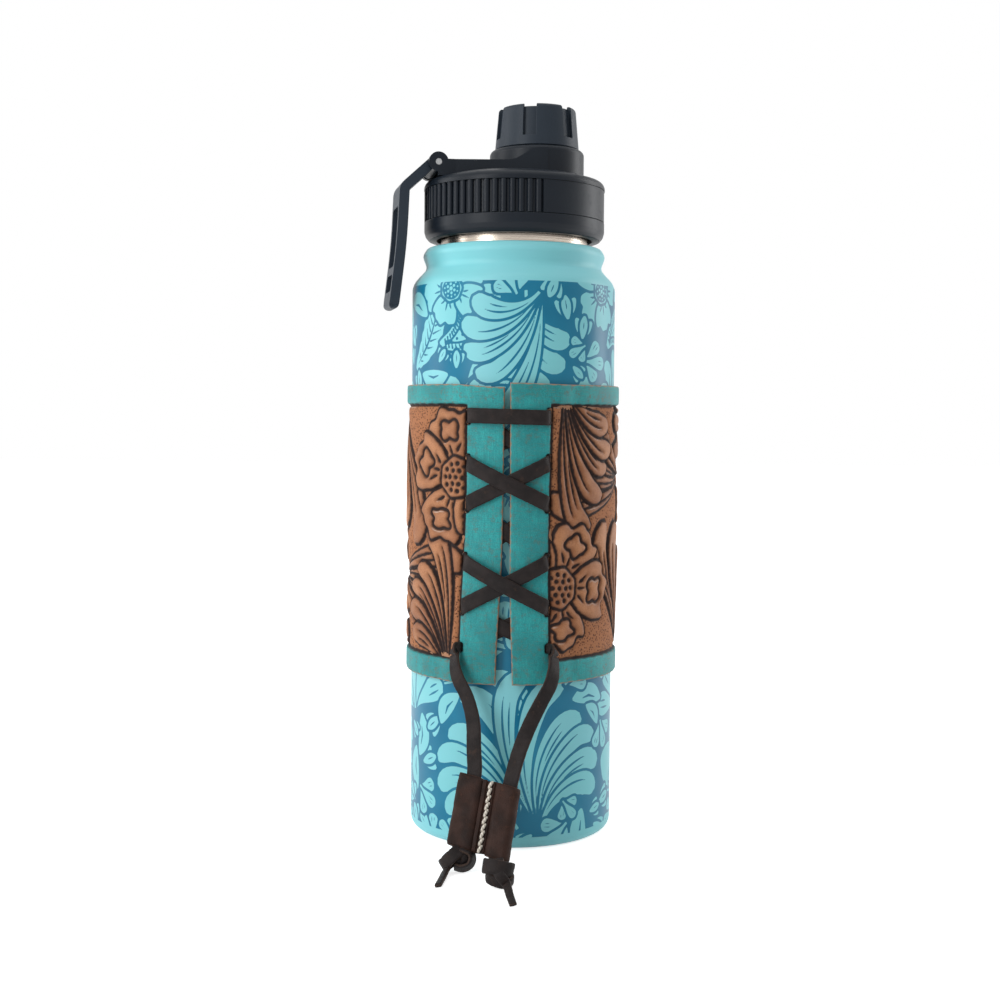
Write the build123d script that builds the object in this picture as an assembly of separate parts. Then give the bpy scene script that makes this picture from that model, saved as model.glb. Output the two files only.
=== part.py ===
from build123d import *
import os
from math import acos, atan2, cos, degrees, radians, sin, tan

os.makedirs("parts", exist_ok=True)

# A double-walled steel drinking bottle with a spout lid, a swinging carry handle and a laced leather
# sleeve. Millimetres, +Z up. The origin is the centre of the ring that the bottle stands on. The
# lacing faces -Y, and the carry handle hangs on the -X side.

# Steel bottle
body_radius = 36.5
shell_wall = 0.7
foot_rim_width = 5.5
foot_round = 3.3
barrel_height = 196.0
flare_round = 6.0
shoulder_step = 5.3
shoulder_rise = 5.8
groove_round = 2.6
bead_step = 1.7
bead_rise = 4.6
bead_round = 2.2
rim_step = 1.6
rim_rise = 2.6
rim_round = 1.3
neck_step = 4.9
neck_length = 17.0
foot_hole_radius = body_radius - foot_rim_width
groove_radius = body_radius - shoulder_step
groove_height = barrel_height + shoulder_rise
bead_radius = groove_radius + bead_step
bead_height = groove_height + bead_rise
rim_radius = bead_radius - rim_step
rim_height = bead_height + rim_rise
neck_radius = rim_radius - neck_step
neck_height = rim_height + neck_length

# Inner flask, sealed to the shell at the lip
vacuum_gap = 2.4
flask_wall = 0.6
flask_floor_height = 6.0
flask_floor_round = 5.0
flask_shoulder_drop = 5.4
flask_barrel_round = 12.0
flask_neck_gap = 1.1
flask_throat_drop = 6.8
flask_throat_round = 8.0
lip_thickness = 0.8
flask_radius = body_radius - shell_wall - vacuum_gap
flask_barrel_height = barrel_height - flask_shoulder_drop
flask_throat_height = rim_height - flask_throat_drop
flask_neck_radius = neck_radius - shell_wall - flask_neck_gap
mouth_radius = flask_neck_radius - flask_wall
lip_height = neck_height + lip_thickness

# Welded base plate with its evacuation hole, cover and getter
plate_wall = 0.7
plate_overlap = 1.4
plate_flange_width = 4.4
plate_step_width = 2.5
plate_recess = 2.2
dimple_radius = 6.0
dimple_slope = 1.0
dimple_rise = 0.8
plug_radius = 1.0
plug_head_radius = 2.2
plug_head_height = 0.7
cover_radius = 9.5
cover_thickness = 0.6
getter_radius = 5.0
getter_thickness = 1.4
getter_offset = 16.0
plate_radius = foot_hole_radius + plate_overlap
plate_step_radius = plate_radius - plate_flange_width
plate_flat_radius = plate_step_radius - plate_step_width

# Threaded liner of the lid, over the neck, with the gasket on the bottle's lip
thread_room = 1.6
liner_wall = 2.2
liner_fit = 0.1
liner_roof_thickness = 1.6
liner_edge_chamfer = 1.0
gasket_gap = 0.2
gasket_thickness = 3.15
gasket_side_clearance = 0.2
gasket_roof_clearance = 0.05
plug_wall = 1.8
plug_clearance = 0.6
plug_depth = 8.7
plug_seat = 1.0
liner_inner_radius = neck_radius + thread_room
liner_outer_radius = liner_inner_radius + liner_wall
plug_outer_radius = mouth_radius - plug_clearance
liner_roof_height = lip_height + gasket_gap + gasket_thickness + gasket_roof_clearance
liner_top_height = liner_roof_height + liner_roof_thickness

# Lid shell: dome, spout collar, hinge arm and ears. The lid is drawn with its arm along -X and then
# turned to where it stands on the bottle.
lid_turn = 12.0
lid_wall = 2.2
seam_gap = 0.1
seam_drop = 0.5
dome_overhang = 0.1
dome_wall = 1.4
dome_headroom = 0.9
dome_edge_drop = 1.9
dome_edge_round = 2.6
dome_slope_width = 6.4
dome_top_round = 6.0
spout_offset = 8.2
collar_rise = 10.3
collar_round = 1.8
collar_wall = 2.0
arm_swell = 0.35
arm_rise = 4.65
arm_ramp_start = 6.0
arm_ramp_end = 6.0
arm_ramp_drop = 1.2
lid_radius = liner_outer_radius + lid_wall
upper_seam_height = liner_roof_height - seam_drop
dome_top_height = liner_top_height + dome_headroom + dome_wall
dome_edge_height = dome_top_height - dome_edge_drop
dome_top_radius = lid_radius - dome_slope_width
collar_height = dome_top_height + collar_rise
arm_height = dome_top_height + arm_rise
arm_ramp_height = collar_height - arm_ramp_drop

# Spout tube and its cap
spout_outer_radius = 10.4
spout_wall = 1.8
spout_rise = 11.4
spout_lip_round = 0.7
spout_flange_width = 2.2
spout_flange_thickness = 0.6
collar_bore_clearance = 0.05
cap_gap = 0.25
cap_thread_room = 0.8
cap_liner_wall = 0.8
cap_liner_fit = 0.05
cap_liner_roof = 1.0
cap_liner_rise = 0.6
cap_roof = 1.2
cap_edge_round = 1.5
cap_skin = 0.85
cap_groove_depth = 0.9
cap_groove_width = 4.6
cap_groove_rise = 2.95
cap_groove_count = 6
cap_groove_turn = -114.0
cap_taper = 1.3
cap_gasket_thickness = 0.9
cap_gasket_gap = 0.2
cap_gasket_clearance = 0.1
cap_gasket_overlap = 0.2
collar_step = 1.85
spout_inner_radius = spout_outer_radius - spout_wall
spout_height = collar_height + spout_rise
cap_liner_radius = spout_outer_radius + cap_thread_room + cap_liner_wall
cap_bore_radius = cap_liner_radius + cap_liner_fit
cap_groove_floor_radius = cap_bore_radius + cap_skin
cap_head_radius = cap_groove_floor_radius + cap_groove_depth
cap_foot_radius = cap_head_radius + cap_taper
cap_foot_height = collar_height + cap_gap
cap_gasket_height = spout_height + cap_gasket_gap
cap_liner_ceiling = cap_gasket_height + cap_gasket_thickness + cap_gasket_clearance
cap_ceiling = cap_liner_ceiling + cap_liner_roof
cap_top_height = cap_ceiling + cap_roof
collar_radius = cap_foot_radius + collar_step

# Hinge: ears, pin and handle knuckle
hinge_inset = 2.93
hinge_rise = 3.58
pin_radius = 1.1
pin_clearance = 0.05
pin_recess = 0.1
ear_radius = 3.45
ear_width = 2.4
ear_foot_drop = 1.1
knuckle_radius = 3.1
knuckle_relief = 0.3
handle_width = 17.0
handle_side_clearance = 0.3
slot_clearance = 3.5
hinge_reach = lid_radius - hinge_inset
hinge_height = dome_top_height + hinge_rise
ear_foot_height = dome_top_height - ear_foot_drop
arm_width = handle_width + 2 * (handle_side_clearance + ear_width)
slot_end = hinge_reach - knuckle_radius - slot_clearance

# Carry handle: a flat strap that hangs from the hinge, with pockets moulded into its outer face
handle_thickness = 3.5
handle_elbow_out = 11.53
handle_elbow_drop = 8.68
handle_elbow_round = 3.2
handle_drop = 40.6
handle_lean = 3.6
handle_bow = 0.75
handle_bow_share = 0.46
handle_corner_round = 4.0
pocket_rim = 2.2
pocket_corner_round = 1.2
short_pocket_rise = 4.4
short_pocket_length = 5.9
pocket_bar = 2.8
long_pocket_length = 21.0
handle_elbow_reach = hinge_reach + handle_elbow_out
handle_elbow_height = hinge_height - handle_elbow_drop
handle_end_reach = handle_elbow_reach + handle_lean
handle_end_height = handle_elbow_height - handle_drop

# Ribbed grip band
rib_depth = 1.15
rib_radius = 1.12
rib_pitch_angle = 5.45
rib_count = 35
band_height = 11.2
band_root_radius = lid_radius - rib_depth
lower_seam_height = upper_seam_height - band_height

# Lower ring
ring_clearance = 3.0
ring_waist_step = 0.5
ring_waist_rise = 1.3
ring_shoulder_drop = 3.5
ring_foot_step = 1.6
ring_lip_thickness = 0.8
ring_round = 1.4
ring_top_round = 0.4
ring_bottom_height = rim_height + ring_clearance
ring_waist_radius = lid_radius - ring_waist_step
ring_foot_radius = lid_radius - ring_foot_step
ring_waist_height = ring_bottom_height + ring_waist_rise
ring_shoulder_height = lower_seam_height - ring_shoulder_drop

# Leather sleeve
sleeve_turn = -3.6
sleeve_clearance = 0.3
leather_thickness = 1.9
sleeve_foot_height = 57.85
sleeve_height = 102.25
sleeve_opening = 3.0
flap_lift = 1.5
flap_end_angle = 25.0
flap_start_angle = 38.0
row_height_shares = (0.894, 0.742, 0.600, 0.414, 0.255, 0.121)
hole_angle = 22.2
hole_width = 2.0
hole_height = 5.8
sleeve_inner_radius = body_radius + sleeve_clearance

# Flat leather lace
lace_width = 5.2
lace_thickness = 1.3
lace_gap = 0.1
crossing_lift = 1.4
fold_depth = 2.0
fold_rise = 1.4

# Free ends of the lace, from each knot up through the slider to the hole that it leaves
left_route = [(-18.06, -60.63, 2.37), (-14.83, -54.05, 17.15), (-12.05, -48.27, 29.03), (-12.7, -46.6, 37.5),
              (-12.7, -44.5, 46.3), (-15.0, -42.7, 54.6), (-17.9, -40.2, 61.6), (-17.97, -37.18, 67.62)]
right_route = [(-4.1, -72.5, 4.1), (-5.55, -64.09, 4.53), (-2.93, -58.74, 16.64), (-0.15, -52.96, 28.52),
               (2.2, -50.9, 37.2), (5.9, -48.6, 46.3), (10.2, -46.6, 54.3), (13.5, -43.6, 61.0),
               (13.27, -39.43, 67.62)]
slider_points = [left_route[0], left_route[2], right_route[3]]
run_share = 0.45

# Slider: a leather strip folded into two tubes and stitched between them
slider_length = 24.0
slider_drop = 0.7
tube_width = 8.6
tube_depth = 4.9
tube_hole_width = 6.0
tube_hole_depth = 2.3
web_width = 6.0
web_depth = 3.4
stitch_count = 9
stitch_length = 2.0
stitch_radius = 0.35
stitch_pitch = 2.45
stitch_offset = 0.9

# Knots on the floor in front of the bottle
knot_core_radius = 2.9
knot_loop_radius = 2.4
knot_lace_radius = 1.35
knot_spread = 6.4
floor_gap = 0.05
knot_lead = 3.0
left_knot_turn = 15.0
right_knot_turn = -78.0
left_tail_length = 13.0
left_tail_turn = -112.6
right_tail_length = 17.6
right_tail_turn = -76.5
tail_width = 3.0
tail_tip_width = 2.2
tail_lift = 0.3

# Overrun of every cutting solid
overrun = 1.0


def spin(outline):
    """Turn a flat outline, drawn as radius and height, about the bottle's axis."""
    return revolve(Plane.XZ * make_face(outline), Axis.Z)


def tube(outer_radius, inner_radius, foot, head):
    """A plain ring between two heights."""
    return extrude(Pos(0, 0, foot) * (Circle(outer_radius) - Circle(inner_radius)), head - foot)


def drum(radius, foot, head):
    return extrude(Pos(0, 0, foot) * Circle(radius), head - foot)


def save(solid, name):
    export_step(solid, os.path.join("parts", name + ".step"))


# Steel bottle
def make_outer_shell():
    line = FilletPolyline(
        (foot_hole_radius, 0), (body_radius, 0), (body_radius, barrel_height),
        (groove_radius, groove_height), (bead_radius, bead_height), (rim_radius, rim_height),
        (neck_radius, rim_height), radius=[foot_round, flare_round, groove_round, bead_round, rim_round])
    line += Line((neck_radius, rim_height), (neck_radius, neck_height))
    return spin(offset(line, amount=shell_wall, side=Side.LEFT, closed=True))


def make_inner_flask():
    line = FilletPolyline(
        (0, flask_floor_height), (flask_radius, flask_floor_height), (flask_radius, flask_barrel_height),
        (flask_neck_radius, flask_throat_height), (flask_neck_radius, neck_height),
        radius=[flask_floor_round, flask_barrel_round, flask_throat_round])
    wall = spin(offset(line, amount=flask_wall, side=Side.LEFT, closed=True))
    lip = tube(neck_radius, mouth_radius, neck_height, lip_height)
    lip = chamfer(lip.edges().group_by(Axis.Z)[-1], lip_thickness / 3)
    return wall + lip


def make_base_plate():
    flat_height = shell_wall + plate_recess - plate_wall
    dimple_height = flat_height + dimple_rise
    line = Polyline(
        (plug_radius, dimple_height), (dimple_radius, dimple_height),
        (dimple_radius + dimple_slope, flat_height), (plate_flat_radius, flat_height),
        (plate_step_radius, shell_wall), (plate_radius, shell_wall))
    wall = offset(line, amount=plate_wall, side=Side.LEFT, closed=True, kind=Kind.INTERSECTION)
    return spin(wall), flat_height, dimple_height


def make_vacuum_plug(dimple_height):
    stem = drum(plug_radius, dimple_height, dimple_height + plate_wall)
    head_foot = dimple_height + plate_wall
    head = Pos(0, 0, head_foot + plug_head_height / 2) * Cylinder(plug_head_radius, plug_head_height)
    head = chamfer(head.edges().group_by(Axis.Z)[-1], plug_head_height / 2)
    return stem + head


# Lid
def make_lid_shell():
    edge_radius = lid_radius + dome_overhang
    line = FilletPolyline(
        (edge_radius, upper_seam_height + seam_gap / 2), (edge_radius, dome_edge_height),
        (dome_top_radius, dome_top_height), (0, dome_top_height),
        radius=[dome_edge_round, dome_top_round])
    dome = spin(offset(line, amount=dome_wall, side=Side.LEFT, closed=True))
    dome_roof = dome_top_height - dome_wall

    collar = Pos(spout_offset, 0) * drum(collar_radius, dome_roof, collar_height)
    collar = fillet(collar.edges().group_by(Axis.Z)[-1], collar_round)

    # The arm spreads from the ears until it is tangent to the collar, and its top sweeps up the collar
    swell_radius = collar_radius + arm_swell
    root = Pos(-slot_end, 0) * Rectangle(overrun, arm_width)
    plan = make_hull((Pos(spout_offset, 0) * Circle(swell_radius)).edges() + root.edges())
    plan_block = extrude(Pos(0, 0, dome_roof) * plan, collar_height - dome_roof)
    side_line = (
        Polyline((spout_offset, dome_roof), (-hinge_reach, dome_roof), (-hinge_reach, arm_height),
                 (-arm_ramp_start, arm_height))
        + Spline((-arm_ramp_start, arm_height), (arm_ramp_end, arm_ramp_height),
                 tangents=((1, 0), (1, 0)))
        + Polyline((arm_ramp_end, arm_ramp_height), (spout_offset, arm_ramp_height),
                   (spout_offset, dome_roof)))
    side_block = extrude(Plane.XZ * make_face(side_line), arm_width + swell_radius, both=True)
    arm = plan_block & side_block

    # Two ears stand out past the slot that the handle swings through
    ear_bar = Polyline(
        (-hinge_reach, ear_foot_height), (-slot_end, ear_foot_height), (-slot_end, arm_height),
        (-hinge_reach, arm_height), close=True)
    ear_face = make_face(ear_bar) + Pos(-hinge_reach, hinge_height) * Circle(ear_radius)
    ear_offset = handle_width / 2 + handle_side_clearance
    ear = Pos(0, -ear_offset) * extrude(Plane.XZ * ear_face, ear_width)
    ears = ear + mirror(ear, Plane.XZ)

    cavity_radius = collar_radius - collar_wall
    cavity = Pos(spout_offset, 0) * drum(cavity_radius, dome_roof - overrun, collar_height - collar_wall)
    bore_radius = spout_outer_radius + collar_bore_clearance
    bore = Pos(spout_offset, 0) * drum(bore_radius, dome_roof, collar_height + overrun)
    shell = dome + collar + arm + ears
    hinge_place = Pos(-hinge_reach, 0, hinge_height) * Rot(90, 0, 0)
    relief_width = handle_width + 2 * handle_side_clearance
    relief = hinge_place * Cylinder(knuckle_radius + knuckle_relief, relief_width)
    pin_bore = hinge_place * Cylinder(pin_radius, 2 * arm_width)
    return shell - cavity - bore - relief - pin_bore


def make_grip_band():
    foot = lower_seam_height + seam_gap / 2
    head = upper_seam_height - seam_gap / 2
    bore_radius = liner_outer_radius + liner_fit
    half_angle = rib_pitch_angle * rib_count / 2
    reach = 2 * lid_radius
    # The smooth sector is what the ribs leave free, less than half a turn
    corner_y = reach * tan(radians(180 - half_angle))
    wedge = make_face(Polyline((0, 0), (reach, -corner_y), (reach, corner_y), close=True))
    smooth = (Circle(lid_radius - dome_overhang) - Circle(bore_radius)) & wedge
    band = smooth + (Circle(band_root_radius) - Circle(bore_radius))
    rib_place = lid_radius - rib_radius
    for index in range(rib_count):
        angle = 180 - half_angle + rib_pitch_angle * (index + 0.5)
        band += Rot(0, 0, angle) * Pos(rib_place, 0) * Circle(rib_radius)
    band -= Circle(bore_radius)
    return extrude(Pos(0, 0, foot) * band, head - foot)


def make_lower_ring():
    head = lower_seam_height - seam_gap / 2
    bore_radius = liner_outer_radius + liner_fit
    outside = FilletPolyline(
        (bore_radius, head), (lid_radius, head), (lid_radius, ring_shoulder_height),
        (ring_waist_radius, ring_waist_height), (ring_foot_radius, ring_bottom_height),
        (liner_inner_radius, ring_bottom_height),
        radius=[ring_top_round, ring_round, ring_round, ring_round / 2])
    ledge = ring_bottom_height + ring_lip_thickness
    inside = Polyline(
        (liner_inner_radius, ring_bottom_height), (liner_inner_radius, ledge), (bore_radius, ledge),
        (bore_radius, head))
    return spin(outside + inside)


def make_lid_liner():
    skirt_foot = ring_bottom_height + ring_lip_thickness
    cup = drum(liner_outer_radius, skirt_foot, liner_top_height)
    cup = chamfer(cup.edges().group_by(Axis.Z)[-1], liner_edge_chamfer)
    cup -= drum(liner_inner_radius, skirt_foot - overrun, liner_roof_height)
    # The plug ring is pressed into a groove in the roof, and the spout tube stands in a hole
    groove = tube(plug_outer_radius, plug_outer_radius - plug_wall, liner_roof_height - overrun,
                  liner_roof_height + plug_seat)
    spout_hole = Pos(spout_offset, 0) * drum(
        spout_outer_radius, liner_roof_height - overrun, liner_top_height + overrun)
    return cup - groove - spout_hole


def make_plug_ring():
    return tube(plug_outer_radius, plug_outer_radius - plug_wall, liner_roof_height - plug_depth,
                liner_roof_height + plug_seat)


def make_spout_tube():
    """A plain tube with a thin flange that rests on the liner's roof."""
    outside = FilletPolyline(
        (spout_outer_radius, liner_roof_height), (spout_outer_radius, spout_height),
        (spout_inner_radius, spout_height), radius=[spout_lip_round])
    inside = Polyline((spout_inner_radius, spout_height), (spout_inner_radius, liner_roof_height),
                      (spout_outer_radius, liner_roof_height))
    wall = spin(outside + inside)
    flange = tube(spout_outer_radius + spout_flange_width, spout_inner_radius, liner_top_height,
                  liner_top_height + spout_flange_thickness)
    return Pos(spout_offset, 0) * (wall + flange)


def make_lid_gasket():
    inner = plug_outer_radius + gasket_side_clearance
    outer = liner_inner_radius - gasket_side_clearance
    foot = lip_height + gasket_gap
    return tube(outer, inner, foot, foot + gasket_thickness)


def make_hinge_pin():
    pin = Rot(90, 0, 0) * Cylinder(pin_radius, arm_width - 2 * pin_recess)
    return Pos(-hinge_reach, 0, hinge_height) * pin


# Carry handle
def make_handle():
    # The strap's upper face leaves the knuckle as a tangent
    rise = knuckle_radius - handle_thickness / 2
    elbow_distance = (handle_elbow_out ** 2 + handle_elbow_drop ** 2) ** 0.5
    start_angle = atan2(-handle_elbow_drop, -handle_elbow_out) - acos(rise / elbow_distance)
    start = (rise * cos(start_angle) - hinge_reach, rise * sin(start_angle) + hinge_height)
    elbow = (-handle_elbow_reach, handle_elbow_height)
    waist = (-handle_elbow_reach - handle_bow_share * handle_lean + handle_bow,
             handle_elbow_height - handle_bow_share * handle_drop)
    end = (-handle_end_reach, handle_end_height)
    waist_round = arc_radii([elbow, waist, end])[0]
    line = FilletPolyline(start, elbow, waist, end, radius=[handle_elbow_round, waist_round])
    strap = make_face(offset(line, amount=handle_thickness / 2, side=Side.BOTH))
    strap += Pos(-hinge_reach, hinge_height) * Circle(knuckle_radius)
    body = extrude(Plane.XZ * strap, handle_width / 2, both=True)

    # Round the two free corners
    foot = handle_end_height - handle_thickness / 2
    head = hinge_height + 2 * knuckle_radius
    front = Pos(0, (foot + head) / 2) * RectangleRounded(handle_width, head - foot, handle_corner_round)
    body &= extrude(Plane.YZ * front, -2 * handle_end_reach)

    # The pockets reach from the outer face to the middle of the strap
    outside = make_face(offset(line, amount=handle_thickness, side=Side.RIGHT, closed=True))
    beyond = extrude(Plane.XZ * outside, handle_width, both=True)
    pocket_width = handle_width - 2 * pocket_rim
    pocket_foot = handle_end_height + short_pocket_rise
    for pocket_length in (short_pocket_length, long_pocket_length):
        window = Pos(0, pocket_foot + pocket_length / 2) * RectangleRounded(
            pocket_width, pocket_length, pocket_corner_round)
        pocket_foot += pocket_length + pocket_bar
        body -= beyond & extrude(Plane.YZ * window, -2 * handle_end_reach)
    bore = Rot(90, 0, 0) * Cylinder(pin_radius + pin_clearance, 2 * handle_width)
    return body - Pos(-hinge_reach, 0, hinge_height) * bore


# Spout cap
def make_spout_cap():
    line = FilletPolyline(
        (cap_foot_radius, cap_foot_height), (cap_head_radius, cap_top_height), (0, cap_top_height),
        radius=[cap_edge_round])
    inside = Polyline(
        (0, cap_top_height), (0, cap_ceiling), (cap_bore_radius, cap_ceiling),
        (cap_bore_radius, cap_foot_height), (cap_foot_radius, cap_foot_height))
    cap = spin(line + inside)
    groove_foot = cap_foot_height + cap_groove_rise
    groove_depth = cap_foot_radius - cap_groove_floor_radius + overrun
    groove = Pos(cap_groove_floor_radius + groove_depth / 2, 0, groove_foot) * extrude(
        Rectangle(groove_depth, cap_groove_width), cap_top_height - groove_foot + overrun)
    for index in range(cap_groove_count):
        cap -= Rot(0, 0, cap_groove_turn + index * 360 / cap_groove_count) * groove
    return Pos(spout_offset, 0) * cap


def make_cap_liner():
    foot = cap_foot_height + cap_liner_rise
    cup = drum(cap_liner_radius, foot, cap_ceiling)
    cup -= drum(cap_liner_radius - cap_liner_wall, foot - overrun, cap_liner_ceiling)
    return Pos(spout_offset, 0) * cup


def make_cap_gasket():
    outer = cap_liner_radius - cap_liner_wall - cap_gasket_clearance
    inner = spout_inner_radius - cap_gasket_overlap
    ring = tube(outer, inner, cap_gasket_height, cap_gasket_height + cap_gasket_thickness)
    return Pos(spout_offset, 0) * ring


# Leather sleeve, drawn with its opening along -Y and turned afterwards
def polar(radius, angle):
    """A point at an angle from the opening, positive towards +X."""
    return (radius * sin(radians(angle)), -radius * cos(radians(angle)))


def half_sleeve_line(radius):
    """One face of the right half: the back, the swell towards the opening and the flap."""
    flap_radius = radius + flap_lift
    edge_angle = degrees(sleeve_opening / 2 / flap_radius)
    middle_angle = (flap_start_angle + 180) / 2
    back = ThreePointArc(polar(radius, 180), polar(radius, middle_angle), polar(radius, flap_start_angle))
    flap = ThreePointArc(polar(flap_radius, flap_end_angle), polar(flap_radius, flap_end_angle / 2),
                         polar(flap_radius, edge_angle))
    swell = Spline(back @ 1, flap @ 0, tangents=(back % 1, flap % 0))
    return back, swell, flap


def make_sleeve():
    inner_lines = half_sleeve_line(sleeve_inner_radius)
    outer_lines = half_sleeve_line(sleeve_inner_radius + leather_thickness)
    front_edge = Line(inner_lines[2] @ 1, outer_lines[2] @ 1)
    back_edge = Line(inner_lines[0] @ 0, outer_lines[0] @ 0)
    half = make_face(Curve() + list(inner_lines) + list(outer_lines) + [front_edge, back_edge])
    plan = half + mirror(half, Plane.YZ)
    sleeve = extrude(Pos(0, 0, sleeve_foot_height) * plan, sleeve_height)
    reach = body_radius + flap_lift + leather_thickness
    hole = Pos(0, -reach) * Box(hole_width, 2 * leather_thickness + 2 * flap_lift + overrun, hole_height)
    for height in row_heights():
        for angle in (-hole_angle, hole_angle):
            sleeve -= Pos(0, 0, height) * Rot(0, 0, angle) * hole
    return Rot(0, 0, sleeve_turn) * sleeve


def row_heights():
    return [sleeve_foot_height + share * sleeve_height for share in row_height_shares]


# Laced part of the lace
def strand(left_height, right_height, inner_radius, centre_shift=0.0):
    """A flat strand from hole line to hole line, lying on a cylinder about the bottle."""
    outer_radius = inner_radius + lace_thickness
    half_span = (inner_radius + centre_shift) * sin(radians(hole_angle)) + lace_thickness / 2
    if centre_shift:
        half_span = flap_face_radius() * sin(radians(hole_angle)) + lace_thickness / 2
    slope = (right_height - left_height) / (2 * half_span)
    half_width = lace_width / 2 * (1 + slope ** 2) ** 0.5
    strip = make_face(Polyline(
        (-half_span, left_height - half_width), (half_span, right_height - half_width),
        (half_span, right_height + half_width), (-half_span, left_height + half_width), close=True))
    block = extrude(Plane.XZ * strip, 2 * body_radius)
    low = min(left_height, right_height) - lace_width
    high = max(left_height, right_height) + lace_width
    shell = Pos(0, -centre_shift) * tube(outer_radius, inner_radius, low, high)
    return block & shell


def flap_face_radius():
    return sleeve_inner_radius + flap_lift + leather_thickness + lace_gap


def make_laced_part():
    rows = row_heights()
    face_radius = flap_face_radius()
    hidden_radius = sleeve_inner_radius
    # A strand that crosses over another bows out on a smaller circle through the same holes
    chord = face_radius * sin(radians(hole_angle))
    rise = face_radius + crossing_lift - face_radius * cos(radians(hole_angle))
    bow_radius = (chord ** 2 + rise ** 2) / (2 * rise)
    bow_shift = face_radius + crossing_lift - bow_radius
    lace = strand(rows[0], rows[0], face_radius)
    for upper, lower in ((rows[1], rows[2]), (rows[3], rows[4])):
        lace += strand(lower, upper, face_radius)
        lace += strand(upper, lower, bow_radius, bow_shift)
    for upper, lower in ((rows[0], rows[1]), (rows[2], rows[3]), (rows[4], rows[5])):
        lace += strand(lower, upper, hidden_radius)
        lace += strand(upper, lower, hidden_radius)
    stub_length = face_radius + lace_thickness - hidden_radius
    stub = Pos(0, -hidden_radius - stub_length / 2) * Box(lace_thickness, stub_length, lace_width)
    fold = Pos(0, -face_radius - fold_depth / 2, (fold_rise - lace_width / 2) / 2) * Box(
        lace_width, fold_depth, fold_rise + lace_width / 2)
    fold = chamfer(fold.edges().filter_by(Axis.X).group_by(Axis.Z)[-1], fold_depth / 3)
    for angle in (-hole_angle, hole_angle):
        for height in rows:
            lace += Pos(0, 0, height) * Rot(0, 0, angle) * stub
        lace += Pos(0, 0, rows[-1]) * Rot(0, 0, angle) * fold
    return Rot(0, 0, sleeve_turn) * lace


# Free ends of the lace
def arc_radii(points):
    """The largest radius that each corner of a route can take."""
    radii = []
    for before, here, after in zip(points, points[1:], points[2:]):
        incoming = Vector(*here) - Vector(*before)
        outgoing = Vector(*after) - Vector(*here)
        half_turn = radians(incoming.get_angle(outgoing)) / 2
        radii.append(run_share * min(incoming.length, outgoing.length) / tan(half_turn))
    return radii


def make_free_end(points, name):
    radii = arc_radii(points)
    path = FilletPolyline(*points, radius=radii)
    heading = path % 0
    # The strip keeps its width level with the slider's while it bends down to the knot
    tube_plane = slider_plane()
    bend_axis = Axis((0, 0, 0), tube_plane.z_dir.cross(heading))
    across = tube_plane.x_dir.rotate(bend_axis, tube_plane.z_dir.get_angle(heading))
    section = Plane(origin=path @ 0, x_dir=across, z_dir=heading) * Rectangle(lace_width, lace_thickness)
    end = sweep(section, path=path)
    expected = path.length * lace_width * lace_thickness
    print(name, "radii", [round(radius, 1) for radius in radii], "length", round(path.length, 1),
          "volume", round(end.volume, 2), "expected", round(expected, 2))
    return end


# Slider and its stitches
def slider_plane():
    """The slider lies along the straight stretches of both free ends."""
    left_foot, left_head, right_head = (Vector(*point) for point in slider_points)
    length_way = (left_head - left_foot).normalized()
    middle = (left_head + right_head) / 2 - length_way * (slider_drop + slider_length / 2)
    return Plane(origin=middle, x_dir=right_head - left_head, z_dir=length_way)


def make_slider():
    tube_spacing = (Vector(*slider_points[2]) - Vector(*slider_points[1])).length
    outline = Rectangle(web_width, web_depth)
    for side in (-1, 1):
        outline += Pos(side * tube_spacing / 2, 0) * SlotOverall(tube_width, tube_depth)
    for side in (-1, 1):
        outline -= Pos(side * tube_spacing / 2, 0) * SlotOverall(tube_hole_width, tube_hole_depth)
    return slider_plane() * extrude(outline, slider_length / 2, both=True)


def make_stitches():
    stitch = Box(2 * stitch_radius, 2 * stitch_radius, stitch_length)
    depth = -web_depth / 2 - stitch_radius
    stitches = []
    for index in range(stitch_count):
        height = (index - (stitch_count - 1) / 2) * stitch_pitch
        stitches.append(slider_plane() * Pos(stitch_offset, depth, height) * stitch)
    return Compound(children=stitches)


# Knots
def make_knot(lace_end, turn, tail_length, tail_turn):
    knot_height = knot_loop_radius + knot_lace_radius
    outline = Pos(0, knot_core_radius / 2) * Rectangle(knot_spread, knot_core_radius)
    for side in (-1, 1):
        outline += Pos(side * knot_spread / 2, knot_loop_radius) * Circle(knot_lace_radius)
        outline += Pos(side * knot_spread / 2, knot_loop_radius / 2) * Rectangle(
            2 * knot_lace_radius, knot_loop_radius)
    loops = Rot(0, 0, turn) * revolve(outline, Axis.X)
    tail_outline = make_face(Polyline(
        (0, -tail_width / 2), (tail_length, -tail_tip_width / 2), (tail_length, tail_tip_width / 2),
        (0, tail_width / 2), close=True))
    tail = Rot(0, 0, tail_turn) * Pos(0, 0, tail_lift - knot_height) * extrude(tail_outline, lace_thickness)
    return Pos(lace_end[0], lace_end[1] - knot_lead, knot_height + floor_gap) * (loops + tail)


# Write every piece
base_plate, plate_flat_height, plate_dimple_height = make_base_plate()
save(make_outer_shell(), "outer_shell")
save(make_inner_flask(), "inner_flask")
save(base_plate, "base_plate")
save(make_vacuum_plug(plate_dimple_height), "vacuum_plug")
save(drum(cover_radius, plate_flat_height - cover_thickness, plate_flat_height), "vacuum_cover")
getter_foot = plate_flat_height + plate_wall
save(Pos(getter_offset, 0) * drum(getter_radius, getter_foot, getter_foot + getter_thickness), "getter")

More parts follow.
